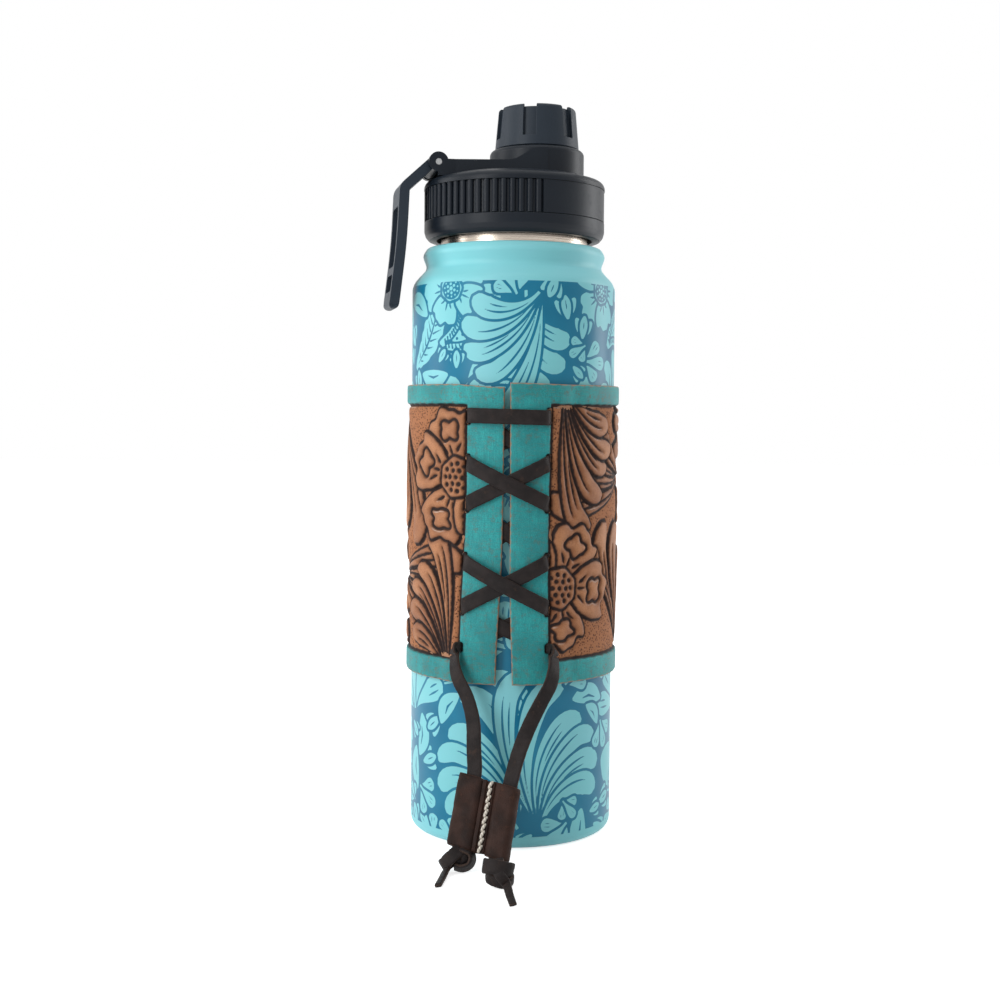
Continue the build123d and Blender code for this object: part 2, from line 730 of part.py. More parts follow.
lid_pieces = {
    "lid_shell": make_lid_shell(), "lid_grip_band": make_grip_band(), "lid_lower_ring": make_lower_ring(),
    "lid_liner": make_lid_liner(), "plug_ring": make_plug_ring(), "spout_tube": make_spout_tube(),
    "lid_gasket": make_lid_gasket(), "hinge_pin": make_hinge_pin(),
    "carry_handle": make_handle(), "spout_cap": make_spout_cap(), "cap_liner": make_cap_liner(),
    "cap_gasket": make_cap_gasket()}
for piece_name, piece in lid_pieces.items():
    save(Rot(0, 0, lid_turn) * piece, piece_name)

left_end = make_free_end(left_route, "left end")
right_end = make_free_end(right_route, "right end")
save(make_sleeve(), "leather_sleeve")
save(make_laced_part() - left_end - right_end, "lace_laced")
save(left_end, "lace_left_end")
save(right_end, "lace_right_end")
save(make_slider(), "lace_slider")
save(make_stitches(), "slider_stitches")
save(make_knot(left_route[0], left_knot_turn, left_tail_length, left_tail_turn), "left_knot")
save(make_knot(right_route[0], right_knot_turn, right_tail_length, right_tail_turn), "right_knot")
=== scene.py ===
import bpy
import math
import numpy as np
from mathutils import Matrix, Vector


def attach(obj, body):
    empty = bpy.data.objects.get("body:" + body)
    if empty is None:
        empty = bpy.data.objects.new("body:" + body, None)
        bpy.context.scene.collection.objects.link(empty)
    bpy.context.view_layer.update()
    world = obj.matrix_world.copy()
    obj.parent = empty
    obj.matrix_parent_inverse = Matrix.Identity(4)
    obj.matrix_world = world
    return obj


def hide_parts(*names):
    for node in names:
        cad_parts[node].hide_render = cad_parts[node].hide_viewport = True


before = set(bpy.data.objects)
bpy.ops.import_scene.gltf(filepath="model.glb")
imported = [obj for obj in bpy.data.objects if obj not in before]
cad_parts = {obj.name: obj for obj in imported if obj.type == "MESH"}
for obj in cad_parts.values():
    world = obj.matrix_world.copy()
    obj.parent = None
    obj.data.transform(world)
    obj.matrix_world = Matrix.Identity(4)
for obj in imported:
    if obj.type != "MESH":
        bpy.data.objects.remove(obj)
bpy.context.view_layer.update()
mm = 0.001
detail = 1.0
print("frame loaded:", len(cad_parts), "CAD nodes")

# Camera, at the photograph's viewing angle
view = {"lens": 51.53, "sensor": 36.0, "x": -4.44, "away": 521.6, "height": 149.28, "pitch": 0.0586,
        "roll": 0.0069}
cameraData = bpy.data.cameras.new("camera")
cameraData.lens = view["lens"]
cameraData.sensor_width = view["sensor"]
cameraData.clip_start = 0.01
camera = bpy.data.objects.new("camera", cameraData)
bpy.context.scene.collection.objects.link(camera)
camera.matrix_world = (
    Matrix.Translation((view["x"] * mm, -view["away"] * mm, view["height"] * mm))
    @ Matrix.Rotation(math.radians(90) - view["pitch"], 4, "X") @ Matrix.Rotation(view["roll"], 4, "Z"))
bpy.context.scene.camera = camera


# Mesh helpers: points in millimetres, faces as arrays of vertex numbers
def buildMesh(name, points, faces, smooth=True):
    mesh = bpy.data.meshes.new(name)
    corners = np.concatenate([f.ravel() for f in faces]).astype(np.int32)
    sizes = np.concatenate([np.full(len(f), f.shape[1]) for f in faces])
    starts = np.concatenate([[0], np.cumsum(sizes)[:-1]]).astype(np.int32)
    mesh.vertices.add(len(points))
    mesh.vertices.foreach_set("co", (np.asarray(points, float) * mm).astype(np.float32).ravel())
    mesh.loops.add(len(corners))
    mesh.loops.foreach_set("vertex_index", corners)
    mesh.polygons.add(len(starts))
    mesh.polygons.foreach_set("loop_start", starts)
    mesh.polygons.foreach_set("use_smooth", np.full(len(starts), smooth))
    mesh.update(calc_edges=True)
    mesh.validate()
    return mesh


def storeValues(mesh, name, values):
    made = mesh.attributes.new(name, "FLOAT", "POINT")
    made.data.foreach_set("value", np.asarray(values, np.float32).ravel())


def addPiece(name, mesh, body, material, replaced=()):
    piece = bpy.data.objects.new(name, mesh)
    bpy.context.scene.collection.objects.link(piece)
    mesh.materials.append(material)
    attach(piece, body)
    if replaced:
        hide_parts(*replaced)
    return piece


def gridFaces(rows, cols, first=0, wraps=False):
    r = np.arange(rows - 1)[:, None]
    c = np.arange(cols if wraps else cols - 1)[None, :]
    following = (c + 1) % cols
    return np.stack([r * cols + c, r * cols + following, (r + 1) * cols + following, (r + 1) * cols + c],
                    axis=-1).reshape(-1, 4) + first


def unit(vectors):
    return vectors / np.linalg.norm(vectors, axis=-1, keepdims=True)


def smoothCurve(points, steps=6, closed=False):
    p = np.asarray(points, float)
    if closed:
        p = np.vstack([p[-1:], p, p[:2]])
    else:
        p = np.vstack([2 * p[:1] - p[1:2], p, 2 * p[-1:] - p[-2:-1]])
    t = np.linspace(0, 1, steps, endpoint=False)[:, None]
    spans = [0.5 * (2 * b + (c - a) * t + (2 * a - 5 * b + 4 * c - d) * t ** 2
                    + (3 * b - a - 3 * c + d) * t ** 3)
             for a, b, c, d in zip(p, p[1:], p[2:], p[3:])]
    if not closed:
        spans.append(p[-2:-1])
    return np.vstack(spans)


def ease(value, low, high):
    t = np.clip((value - low) / (high - low), 0, 1)
    return t * t * (3 - 2 * t)


def lengthAlong(line):
    return np.concatenate([[0], np.cumsum(np.linalg.norm(np.diff(line, axis=0), axis=1))])


def polar(radius, angle):
    return np.stack([radius * np.cos(angle), radius * np.sin(angle)], axis=-1)


def ringSpot(radius, angle, height):
    return np.stack(np.broadcast_arrays(radius * np.cos(angle), radius * np.sin(angle), height), axis=-1)


def endPlates(rows, around):
    # the two faces that close a tube of rings
    return [np.arange(around)[None, ::-1], (rows - 1) * around + np.arange(around)[None, :]]


def endFans(rows, around):
    # triangles that close a tube of rings on two points stored after them
    ring = np.arange(around)
    last = ring + (rows - 1) * around
    return [np.stack([np.roll(ring, -1), ring, np.full(around, rows * around)], axis=1),
            np.stack([last, np.roll(last, -1), np.full(around, rows * around + 1)], axis=1)]


# A flat strip with rounded edges along a line, its face turned to the given normals
strip = {"edgePower": 0.38, "facePower": 0.55, "slowWave": 1.7, "fastWave": 4.1, "fastShare": 0.6,
         "seedStep": 2.3, "edgeBand": 6}


def stripMesh(name, centres, normals, width, thickness, around=20, seed=1, ragged=0.02):
    centres = np.asarray(centres, float)
    count = len(centres)
    along = unit(np.gradient(centres, axis=0))
    side = unit(np.cross(along, normals))
    face = np.cross(side, along)
    width = np.broadcast_to(width, count)
    turn = np.linspace(0, 2 * np.pi, around, endpoint=False) + np.pi / around
    flat = np.sign(np.cos(turn)) * np.abs(np.cos(turn)) ** strip["edgePower"]
    thick = np.sign(np.sin(turn)) * np.abs(np.sin(turn)) ** strip["facePower"]
    walk = lengthAlong(centres)
    wobble = 1 + ragged * (np.sin(walk * strip["slowWave"] + seed)
                           + strip["fastShare"] * np.sin(walk * strip["fastWave"] + strip["seedStep"] * seed))
    half = (width / 2 * np.minimum(wobble, 1.0))[:, None] * flat
    rise = thickness / 2 * thick
    points = centres[:, None] + side[:, None] * half[..., None] + face[:, None] * rise[:, None]
    points = np.vstack([points.reshape(-1, 3), centres[:1], centres[-1:]])
    mesh = buildMesh(name, points, [gridFaces(count, around, wraps=True), *endFans(count, around)])
    storeValues(mesh, "cutEdge", np.concatenate([np.tile(np.abs(flat) ** strip["edgeBand"], count), [1, 1]]))
    return mesh


def joinMeshes(name, meshes):
    points, faces, offset, values = [], [], 0, {}
    for mesh in meshes:
        co = np.empty(len(mesh.vertices) * 3, np.float32)
        mesh.vertices.foreach_get("co", co)
        points.append(co.reshape(-1, 3) / mm)
        sizes = np.empty(len(mesh.polygons), np.int32)
        mesh.polygons.foreach_get("loop_total", sizes)
        corners = np.empty(len(mesh.loops), np.int32)
        mesh.loops.foreach_get("vertex_index", corners)
        starts = np.concatenate([[0], np.cumsum(sizes)[:-1]])
        for size in np.unique(sizes):
            pick = starts[sizes == size][:, None] + np.arange(size)
            faces.append(corners[pick] + offset)
        for attribute in mesh.attributes:
            if attribute.domain == "POINT" and attribute.data_type == "FLOAT":
                kept = np.empty(len(mesh.vertices), np.float32)
                attribute.data.foreach_get("value", kept)
                values.setdefault(attribute.name, []).append(kept)
        offset += len(mesh.vertices)
        bpy.data.meshes.remove(mesh)
    joined = buildMesh(name, np.vstack(points), faces)
    for key, parts in values.items():
        storeValues(joined, key, np.concatenate(parts))
    return joined


# Shader helpers
def addNode(tree, kind, sockets=None, **settings):
    node = tree.nodes.new(kind)
    for key, value in settings.items():
        setattr(node, key, value)
    for socket, value in (sockets or {}).items():
        if isinstance(value, bpy.types.NodeSocket):
            tree.links.new(value, node.inputs[socket])
        else:
            node.inputs[socket].default_value = value
    return node


def calc(tree, operation, first, second=0.0, clamp=False):
    return addNode(tree, "ShaderNodeMath", {0: first, 1: second}, operation=operation,
                   use_clamp=clamp).outputs[0]


def times(tree, first, second):
    return calc(tree, "MULTIPLY", first, second)


def plus(tree, first, second):
    return calc(tree, "ADD", first, second)


def mapped(tree, value, low, high, toLow=0.0, toHigh=1.0, smooth=True):
    return addNode(tree, "ShaderNodeMapRange", {"Value": value, "From Min": low, "From Max": high,
                                                "To Min": toLow, "To Max": toHigh},
                   interpolation_type="SMOOTHSTEP" if smooth else "LINEAR").outputs["Result"]


def noise(tree, place, scale, detailLevel, roughness=0.5):
    return addNode(tree, "ShaderNodeTexNoise", {"Vector": place, "Scale": scale, "Detail": detailLevel,
                                                "Roughness": roughness}).outputs["Fac"]


def mixed(tree, factor, first, second):
    return addNode(tree, "ShaderNodeMix", {0: factor, 6: first, 7: second}, data_type="RGBA").outputs[2]


def layered(tree, base, *coats):
    for factor, colour in coats:
        base = mixed(tree, factor, base, colour)
    return base


def shade(red, green, blue):
    # a colour as it is seen, 0 to 255, to the shader's own scale
    return tuple((v / 255 / 12.92) if v <= 10 else ((v / 255 + 0.055) / 1.055) ** 2.4
                 for v in (red, green, blue)) + (1.0,)


def newGroup(name, inputs, outputs):
    group = bpy.data.node_groups.new(name, "ShaderNodeTree")
    for label, kind, value in [("Position", "Vector", None), *inputs]:
        socket = group.interface.new_socket(label, in_out="INPUT", socket_type="NodeSocket" + kind)
        if value is not None:
            socket.default_value = value
    for label in outputs:
        group.interface.new_socket(label, in_out="OUTPUT", socket_type="NodeSocketFloat")
    start = group.nodes.new("NodeGroupInput")
    end = group.nodes.new("NodeGroupOutput")
    return group, start.outputs, end.inputs


# Leather grain: pebbled cells with fine pores
leatherGrain, source, sink = newGroup("leather grain", [("Scale", "Float", 900.0), ("Pores", "Float", 0.5)],
                                      ["Height", "Shade"])
cells = addNode(leatherGrain, "ShaderNodeTexVoronoi",
                {"Vector": source["Position"], "Scale": source["Scale"]}, feature="DISTANCE_TO_EDGE")
broad = noise(leatherGrain, source["Position"], times(leatherGrain, source["Scale"], 0.12), 4.0)
fine = noise(leatherGrain, source["Position"], times(leatherGrain, source["Scale"], 2.2), 2.0)
leatherGrain.links.new(plus(leatherGrain, mapped(leatherGrain, cells.outputs["Distance"], 0.0, 0.16),
                            times(leatherGrain, fine, source["Pores"])), sink["Height"])
leatherGrain.links.new(broad, sink["Shade"])

# Moulded or sprayed surface: a fine orange peel and slow changes of tone
fineSurface, source, sink = newGroup("fine surface", [("Scale", "Float", 1800.0)], ["Height", "Tone", "Rub"])
rub = noise(fineSurface, source["Position"], times(fineSurface, source["Scale"], 0.07), 6.0, 0.7)
fineSurface.links.new(noise(fineSurface, source["Position"], source["Scale"], 3.0), sink["Height"])
fineSurface.links.new(noise(fineSurface, source["Position"], times(fineSurface, source["Scale"], 0.02), 3.0),
                      sink["Tone"])
fineSurface.links.new(mapped(fineSurface, rub, 0.52, 0.75), sink["Rub"])

# Brushed lines: they run along the axes whose stretch is small
brushLines, source, sink = newGroup("brush lines", [("Stretch", "Vector", (60.0, 60.0, 4000.0))],
                                    ["Height", "Streak"])
stretched = addNode(brushLines, "ShaderNodeVectorMath", {0: source["Position"], 1: source["Stretch"]},
                    operation="MULTIPLY")
lines = noise(brushLines, stretched.outputs[0], 1.0, 5.0, 0.65)
brushLines.links.new(lines, sink["Height"])
brushLines.links.new(mapped(brushLines, lines, 0.3, 0.7), sink["Streak"])


def newMaterial(name, mirror=0.5):
    material = bpy.data.materials.new(name)
    material.use_nodes = True
    tree = material.node_tree
    shader = tree.nodes["Principled BSDF"]
    shader.inputs["Specular IOR Level"].default_value = mirror
    return material, tree, shader, tree.nodes.new("ShaderNodeTexCoord").outputs["Object"]


def useGroup(tree, group, **values):
    return addNode(tree, "ShaderNodeGroup", values, node_tree=group).outputs


def readValue(tree, name):
    return addNode(tree, "ShaderNodeAttribute", attribute_name=name).outputs["Fac"]


def dress(tree, shader, colour, roughness, height, strength, depth):
    tree.links.new(colour, shader.inputs["Base Color"])
    tree.links.new(roughness, shader.inputs["Roughness"])
    bump = addNode(tree, "ShaderNodeBump", {"Height": height, "Strength": strength, "Distance": depth})
    tree.links.new(bump.outputs["Normal"], shader.inputs["Normal"])


plasticSkin = {"mirror": 0.2, "spread": 0.1, "bump": (0.25, 0.00006)}
softSkin = {"mirror": 0.5, "spread": 0.15, "bump": (0.3, 0.0001)}


def makeSmooth(name, low, high, roughness, scale, skin):
    material, tree, shader, place = newMaterial(name, skin["mirror"])
    surface = useGroup(tree, fineSurface, Position=place, Scale=scale)
    dress(tree, shader, mixed(tree, surface["Tone"], low, high),
          mapped(tree, surface["Rub"], 0, 1, roughness, roughness + skin["spread"]),
          surface["Height"], *skin["bump"])
    return material


def makeSteel(name, low, high, roughness, stretch):
    material, tree, shader, place = newMaterial(name)
    brushed = useGroup(tree, brushLines, Position=place, Stretch=stretch)
    shader.inputs["Metallic"].default_value = 1.0
    dress(tree, shader, mixed(tree, brushed["Streak"], low, high),
          mapped(tree, brushed["Streak"], 0, 1, roughness, roughness + 0.14), brushed["Height"], 0.2, 0.00004)
    return material


coat = {"light": shade(134, 208, 217), "pale": shade(130, 208, 215), "dark": shade(32, 126, 158),
        "deep": shade(18, 108, 142), "scale": 2400.0, "edge": (0.20912, 0.20926)}


def coatSurface(tree, place):
    surface = useGroup(tree, fineSurface, Position=place, Scale=coat["scale"])
    return surface, mixed(tree, mapped(tree, surface["Tone"], 0.3, 0.7), coat["light"], coat["pale"])


def makeCoat():
    # powder coat up to the neck, bare turned steel above it
    material, tree, shader, place = newMaterial("powder coat and bare neck", 0.35)
    height = addNode(tree, "ShaderNodeSeparateXYZ", {"Vector": place}).outputs["Z"]
    bare = mapped(tree, height, *coat["edge"])
    surface, tone = coatSurface(tree, place)
    brushed = useGroup(tree, brushLines, Position=place, Stretch=(40.0, 40.0, 5000.0))
    steel = mixed(tree, brushed["Streak"], shade(150, 138, 126), shade(226, 214, 200))
    tree.links.new(bare, shader.inputs["Metallic"])
    dress(tree, shader, mixed(tree, bare, tone, steel), mapped(tree, bare, 0, 1, 0.42, 0.27),
          surface["Height"], 0.18, 0.00008)
    return material


def makeFilm():
    # the printed layer: light motifs on a dark ground, edges cut where the stored distance is zero
    material, tree, shader, place = newMaterial("printed film", 0.24)
    surface, light = coatSurface(tree, place)
    dark = mixed(tree, mapped(tree, surface["Tone"], 0.25, 0.75), coat["deep"], coat["dark"])
    wobble = times(tree, calc(tree, "SUBTRACT", noise(tree, place, 5200.0, 2.0), 0.5), 0.12)
    crisp = mapped(tree, plus(tree, readValue(tree, "inkDistance"), wobble), -0.05, 0.05)
    height = calc(tree, "SUBTRACT", times(tree, surface["Height"], 0.4), times(tree, crisp, 0.5))
    dress(tree, shader, mixed(tree, crisp, dark, light), mapped(tree, crisp, 0, 1, 0.33, 0.4),
          height, 0.12, 0.00008)
    return material


def makeToolLeather():
    material, tree, shader, place = newMaterial("tooled leather", 0.22)
    cut, ground, teal, hollow, rim, glint, wear = (
        readValue(tree, name) for name in ("cut", "ground", "teal", "hollow", "rim", "glint", "wear"))
    grain = useGroup(tree, leatherGrain, Position=place, Scale=1500.0, Pores=0.6)
    brushed = useGroup(tree, brushLines, Position=place, Stretch=(2400.0, 2400.0, 300.0))
    woven = useGroup(tree, brushLines, Position=place, Stretch=(300.0, 300.0, 2400.0))
    blotch = noise(tree, place, 60.0, 5.0, 0.6)
    speck = noise(tree, place, 420.0, 4.0, 0.7)
    # small round stamp marks on the ground, dark in the dents
    stamps = addNode(tree, "ShaderNodeTexVoronoi", {"Vector": place, "Scale": 1150.0})
    dent = mapped(tree, stamps.outputs["Distance"], 0.12, 0.5)
    # tan in slow blotches, darker in the grain and the hollows, with dark paste left in the cuts and a
    # painted highlight (glint) on the slopes beside them
    tan = layered(
        tree, mixed(tree, mapped(tree, blotch, 0.32, 0.68), shade(158, 104, 70), shade(197, 138, 96)),
        (mapped(tree, grain["Height"], 0.2, 1.2, 0.35, 0.0), shade(120, 74, 48)),
        (times(tree, hollow, 0.75), shade(104, 60, 38)),
        (ground, mixed(tree, dent, shade(74, 45, 33), shade(168, 112, 77))),
        (glint, shade(224, 206, 192)), (cut, shade(36, 24, 22)))
    # teal border brushed on, and rubbed through to the leather in places
    rubbed = plus(tree, mapped(tree, speck, 0.5, 0.72),
                  times(tree, mapped(tree, woven["Height"], 0.5, 0.66), 0.5))
    worn = calc(tree, "MULTIPLY", rubbed, plus(tree, times(tree, wear, 0.5), 0.42), True)
    dye = layered(
        tree, mixed(tree, brushed["Streak"], shade(44, 150, 152), shade(56, 174, 174)),
        (mapped(tree, blotch, 0.36, 0.66, 0.0, 0.9), shade(42, 132, 134)),
        (mapped(tree, grain["Height"], 0.3, 1.1, 0.4, 0.0), shade(28, 104, 108)),
        (worn, shade(96, 92, 80)), (cut, shade(36, 30, 30)))
    colour = layered(tree, tan, (teal, dye), (rim, shade(172, 124, 92)))
    rough = plus(tree, mapped(tree, calc(tree, "MAXIMUM", cut, ground), 0, 1, 0.44, 0.7),
                 mapped(tree, brushed["Streak"], 0, 1, 0.0, 0.1))
    height = plus(tree, plus(tree, times(tree, grain["Height"], 0.25),
                             times(tree, times(tree, dent, ground), 1.6)),
                  times(tree, brushed["Height"], 0.35))
    dress(tree, shader, colour, rough, height, 0.5, 0.00022)
    return material


def makeLaceLeather(name, low, high, edgeColour, roughness, scale):
    material, tree, shader, place = newMaterial(name, 0.14)
    grain = useGroup(tree, leatherGrain, Position=place, Scale=scale, Pores=0.7)
    scuff = noise(tree, place, 260.0, 6.0, 0.7)
    tone = layered(tree, mixed(tree, mapped(tree, grain["Shade"], 0.3, 0.7), low, high),
                   (mapped(tree, scuff, 0.56, 0.74, 0.0, 0.55), edgeColour),
                   (mapped(tree, readValue(tree, "cutEdge"), 0.75, 1.0, 0.0, 0.6), edgeColour))
    dress(tree, shader, tone, mapped(tree, scuff, 0.3, 0.7, roughness - 0.06, roughness + 0.14),
          grain["Height"], 0.4, 0.00012)
    return material


def makeThread():
    material, tree, shader, _ = newMaterial("waxed thread")
    # the plies' ridge raises the bump, and the thread is painted darker in the grooves between the plies, a
    # painted shade
    plyRidgeAndShade = mapped(tree, calc(tree, "SINE", times(tree, readValue(tree, "twist"), 6.2832)), -1, 1)
    dress(tree, shader, mixed(tree, plyRidgeAndShade, shade(186, 177, 164), shade(226, 219, 206)),
          mapped(tree, plyRidgeAndShade, 0, 1, 0.62, 0.5), plyRidgeAndShade, 0.6, 0.0001)
    return material


materials = {
    "coat": makeCoat(), "film": makeFilm(), "leather": makeToolLeather(), "thread": makeThread(),
    "lid": makeSmooth("lid plastic", shade(11, 17, 25), shade(19, 27, 36), 0.4, 2600.0, plasticSkin),
    # a lighter plastic for the spout cap, also given to the carry handle, which is of the lid's plastic: on
    # the handle the lighter colour is painted light
    "cap": makeSmooth("cap plastic, painted lighter on the handle", shade(31, 39, 48), shade(47, 56, 66), 0.46, 2200.0, plasticSkin),
    "liner": makeSmooth("liner plastic", shade(28, 29, 31), shade(36, 37, 40), 0.5, 2600.0, plasticSkin),
    "silicone": makeSmooth("silicone", shade(196, 196, 192), shade(214, 213, 208), 0.5, 1500.0, softSkin),
    "base": makeSmooth("coated base", shade(118, 196, 204), shade(128, 206, 213), 0.42, 2400.0, softSkin),
    "steel": makeSteel("bare steel", shade(150, 146, 140), shade(205, 200, 192), 0.26, (60.0, 60.0, 4000.0)),
    "pin": makeSteel("pin steel", shade(132, 134, 136), shade(186, 186, 186), 0.3, (3000.0, 3000.0, 3000.0)),
    "lace": makeLaceLeather("lace leather", shade(26, 22, 22), shade(42, 36, 35), shade(76, 59, 50),
                            0.5, 1700.0),
    "slider": makeLaceLeather("slider leather", shade(32, 22, 19), shade(56, 38, 32), shade(92, 62, 48),
                              0.62, 1300.0)}
print("materials made:", len(materials))

nodeLooks = {
    "coat": ["outer_shell"], "base": ["base_plate", "vacuum_cover"], "pin": ["hinge_pin"],
    "steel": ["inner_flask", "vacuum_plug", "getter"], "silicone": ["lid_gasket", "cap_gasket"],
    # the carry handle takes the lighter cap plastic, painted light
    "lid": ["lid_shell", "lid_grip_band", "lid_lower_ring"], "cap": ["carry_handle", "spout_cap"],
    "liner": ["lid_liner", "plug_ring", "spout_tube", "cap_liner"], "leather": ["leather_sleeve"],
    "lace": ["lace_laced", "lace_left_end", "lace_right_end", "left_knot", "right_knot"],
    "slider": ["lace_slider"], "thread": ["slider_stitches"]}
for look, names in nodeLooks.items():
    for node in (bpy.data.objects[name] for name in names):
        if not node.material_slots:
            node.data.materials.append(materials[look])
        for held in node.material_slots:
            held.material = materials[look]
print("CAD nodes dressed:", sum(len(names) for names in nodeLooks.values()))


# Ornament. A sheet is a grid of points in millimetres; motifs are outlines and strokes laid on it.
def makeSheet(width, height, step, wraps):
    # light: how far inside a motif a point lies; lift and cut: the relief and the distance to a cut
    cols = int(round(width / step)) + (0 if wraps else 1)
    rows = int(round(height / step)) + 1
    return {"step": width / (cols if wraps else cols - 1), "rise": height / (rows - 1), "cols": cols,
            "rows": rows, "wraps": wraps, "light": np.full((rows, cols), -6.0),
            "lift": np.zeros((rows, cols)), "cut": np.full((rows, cols), 9.0)}


def sheetWindow(sheet, points, margin):
    low = points.min(0) - margin
    high = points.max(0) + margin
    cols = np.arange(math.floor(low[0] / sheet["step"]), math.ceil(high[0] / sheet["step"]) + 1)
    rows = np.arange(max(0, math.floor(low[1] / sheet["rise"])),
                     min(sheet["rows"] - 1, math.ceil(high[1] / sheet["rise"])) + 1)
    if not sheet["wraps"]:
        cols = cols[(cols >= 0) & (cols < sheet["cols"])]
    if not len(cols) or not len(rows):
        return None
    x, z = np.meshgrid(cols * sheet["step"], rows * sheet["rise"])
    return np.ix_(rows, cols % sheet["cols"]), x, z


def insideDistance(x, z, outline):
    nearest = np.full(x.shape, 1e9)
    inside = np.zeros(x.shape, bool)
    for (ax, az), (bx, bz) in zip(outline, np.roll(outline, -1, 0)):
        dx, dz = bx - ax, bz - az
        t = np.clip(((x - ax) * dx + (z - az) * dz) / (dx * dx + dz * dz + 1e-12), 0, 1)
        nearest = np.minimum(nearest, (x - ax - t * dx) ** 2 + (z - az - t * dz) ** 2)
        if az != bz:
            inside ^= ((az > z) != (bz > z)) & (x < (bx - ax) * (z - az) / (bz - az) + ax)
    return np.sqrt(nearest) * np.where(inside, 1, -1)


def strokeDistance(x, z, line, widths):
    best = np.full(x.shape, -1e9)
    for (ax, az), (bx, bz), wa, wb in zip(line, line[1:], widths, widths[1:]):
        dx, dz = bx - ax, bz - az
        t = np.clip(((x - ax) * dx + (z - az) * dz) / (dx * dx + dz * dz + 1e-12), 0, 1)
        best = np.maximum(best, wa + (wb - wa) * t - np.hypot(x - ax - t * dx, z - az - t * dz))
    return best


def strokeWidths(count, width, lead):
    # half widths of a pen stroke: thin at its start, widest part way, thin at its end
    t = np.linspace(0, 1, count)
    return width / 2 * np.minimum(t / lead, (1 - t) / (1 - lead)) ** 0.6


def sideOf(line):
    # unit directions along a line and to its side
    along = unit(np.gradient(np.asarray(line, float), axis=0))
    return along, np.stack([-along[:, 1], along[:, 0]], axis=1)


def blade(line, widths):
    # the outline of a leaf or stem: a centre line with a half width at each point
    side = sideOf(line)[1] * np.asarray(widths)[:, None]
    return np.vstack([line + side, (line - side)[::-1]])


def grownLine(heading, reach):
    # a line of the given length from the origin, which follows the headings
    step = np.stack([np.sin(heading), np.cos(heading)], axis=1) * reach / (len(heading) - 1)
    return np.vstack([[0, 0], np.cumsum(step[:-1], axis=0)])


def fingerWidths(t, width, root, start):
    # half widths of a strand: thin at its root, full further up, round at its end
    shoulder = 1 - root
    half = width / 2 * (root + (1 - root) * ease(t, start, shoulder))
    return half * np.sqrt(np.clip(1 - (np.maximum(t - shoulder, 0) / (root + 0.001)) ** 2, 0.02, 1))


# Motifs are lists of ("shape", outline), ("pen" or "cut", line, half widths) and ("dot" or "bead",
# centre, radius)
def sprayMotif(length, strands, bow, width, spread, hook=0.9, shrink=0.45, seed=0):
    # strands that leave one root and bend apart, the outermost longest, each with one or two veins
    parts = []
    t = np.linspace(0, 1, 30)
    veins = ((0.25, slice(5, -5), 0.11, 0.7), (-0.4, slice(14, -6), 0.09, 0.6))
    for index in range(strands):
        share = index / max(strands - 1, 1)
        reach = length * (1 - shrink * share) * (1 + 0.05 * math.sin(2.3 * index + seed))
        heading = math.copysign(spread, bow) * (share - 0.5) + bow * (0.6 + 0.7 * share) * t ** 1.2
        line = grownLine(heading + math.copysign(hook, bow) * ease(t, 0.72, 1.0), reach)
        half = fingerWidths(t, width * (1 + 0.12 * math.sin(1.7 * index + seed)), 0.14, 0.05)
        parts.append(("shape", blade(line, half)))
        side = sideOf(line)[1] * math.copysign(1.0, bow)
        for shift, kept, nib, lead in veins[:2 - index % 2]:
            vein = (line + side * (half * shift)[:, None])[kept]
            parts.append(("pen", vein, strokeWidths(len(vein), width * nib, lead)))
    return parts


def fanMotif(length, fingers, spread, width, seed):
    # short rounded fingers set round a stem, with two strokes on each
    parts = []
    t = np.linspace(0, 1, 22)
    half = fingerWidths(t, width, 0.2, 0.1)
    for index in sorted(range(fingers), key=lambda k: -abs(k - (fingers - 1) / 2)):
        share = index / (fingers - 1) - 0.5
        reach = length * (1 - 0.35 * abs(share)) * (1 + 0.06 * math.sin(2.1 * index + seed))
        heading = spread * share + 0.5 * share * t
        line = grownLine(heading, reach)
        parts.append(("shape", blade(line, half)))
        for shift, first in ((-0.3, 12), (0.25, 14)):
            side = np.stack([np.cos(heading), -np.sin(heading)], axis=1) * (half * shift)[:, None]
            parts.append(("pen", (line + side)[first:20], strokeWidths(20 - first, width * 0.09, 0.5)))
    return parts


def wavyRing(radius, seed, turn, centre):
    # a closed cut with a wandering edge, a little longer across its petal
    t = np.linspace(0, 2 * np.pi, 49)
    reach = radius * (1 + 0.17 * np.sin(4 * t + seed) + 0.07 * np.sin(6 * t + 2.1 * seed))
    spin = np.array([[math.cos(turn), math.sin(turn)], [-math.sin(turn), math.cos(turn)]])
    return "cut", (polar(reach, t) * (1, 1.25)) @ spin + centre, np.full(len(t), 0.46)


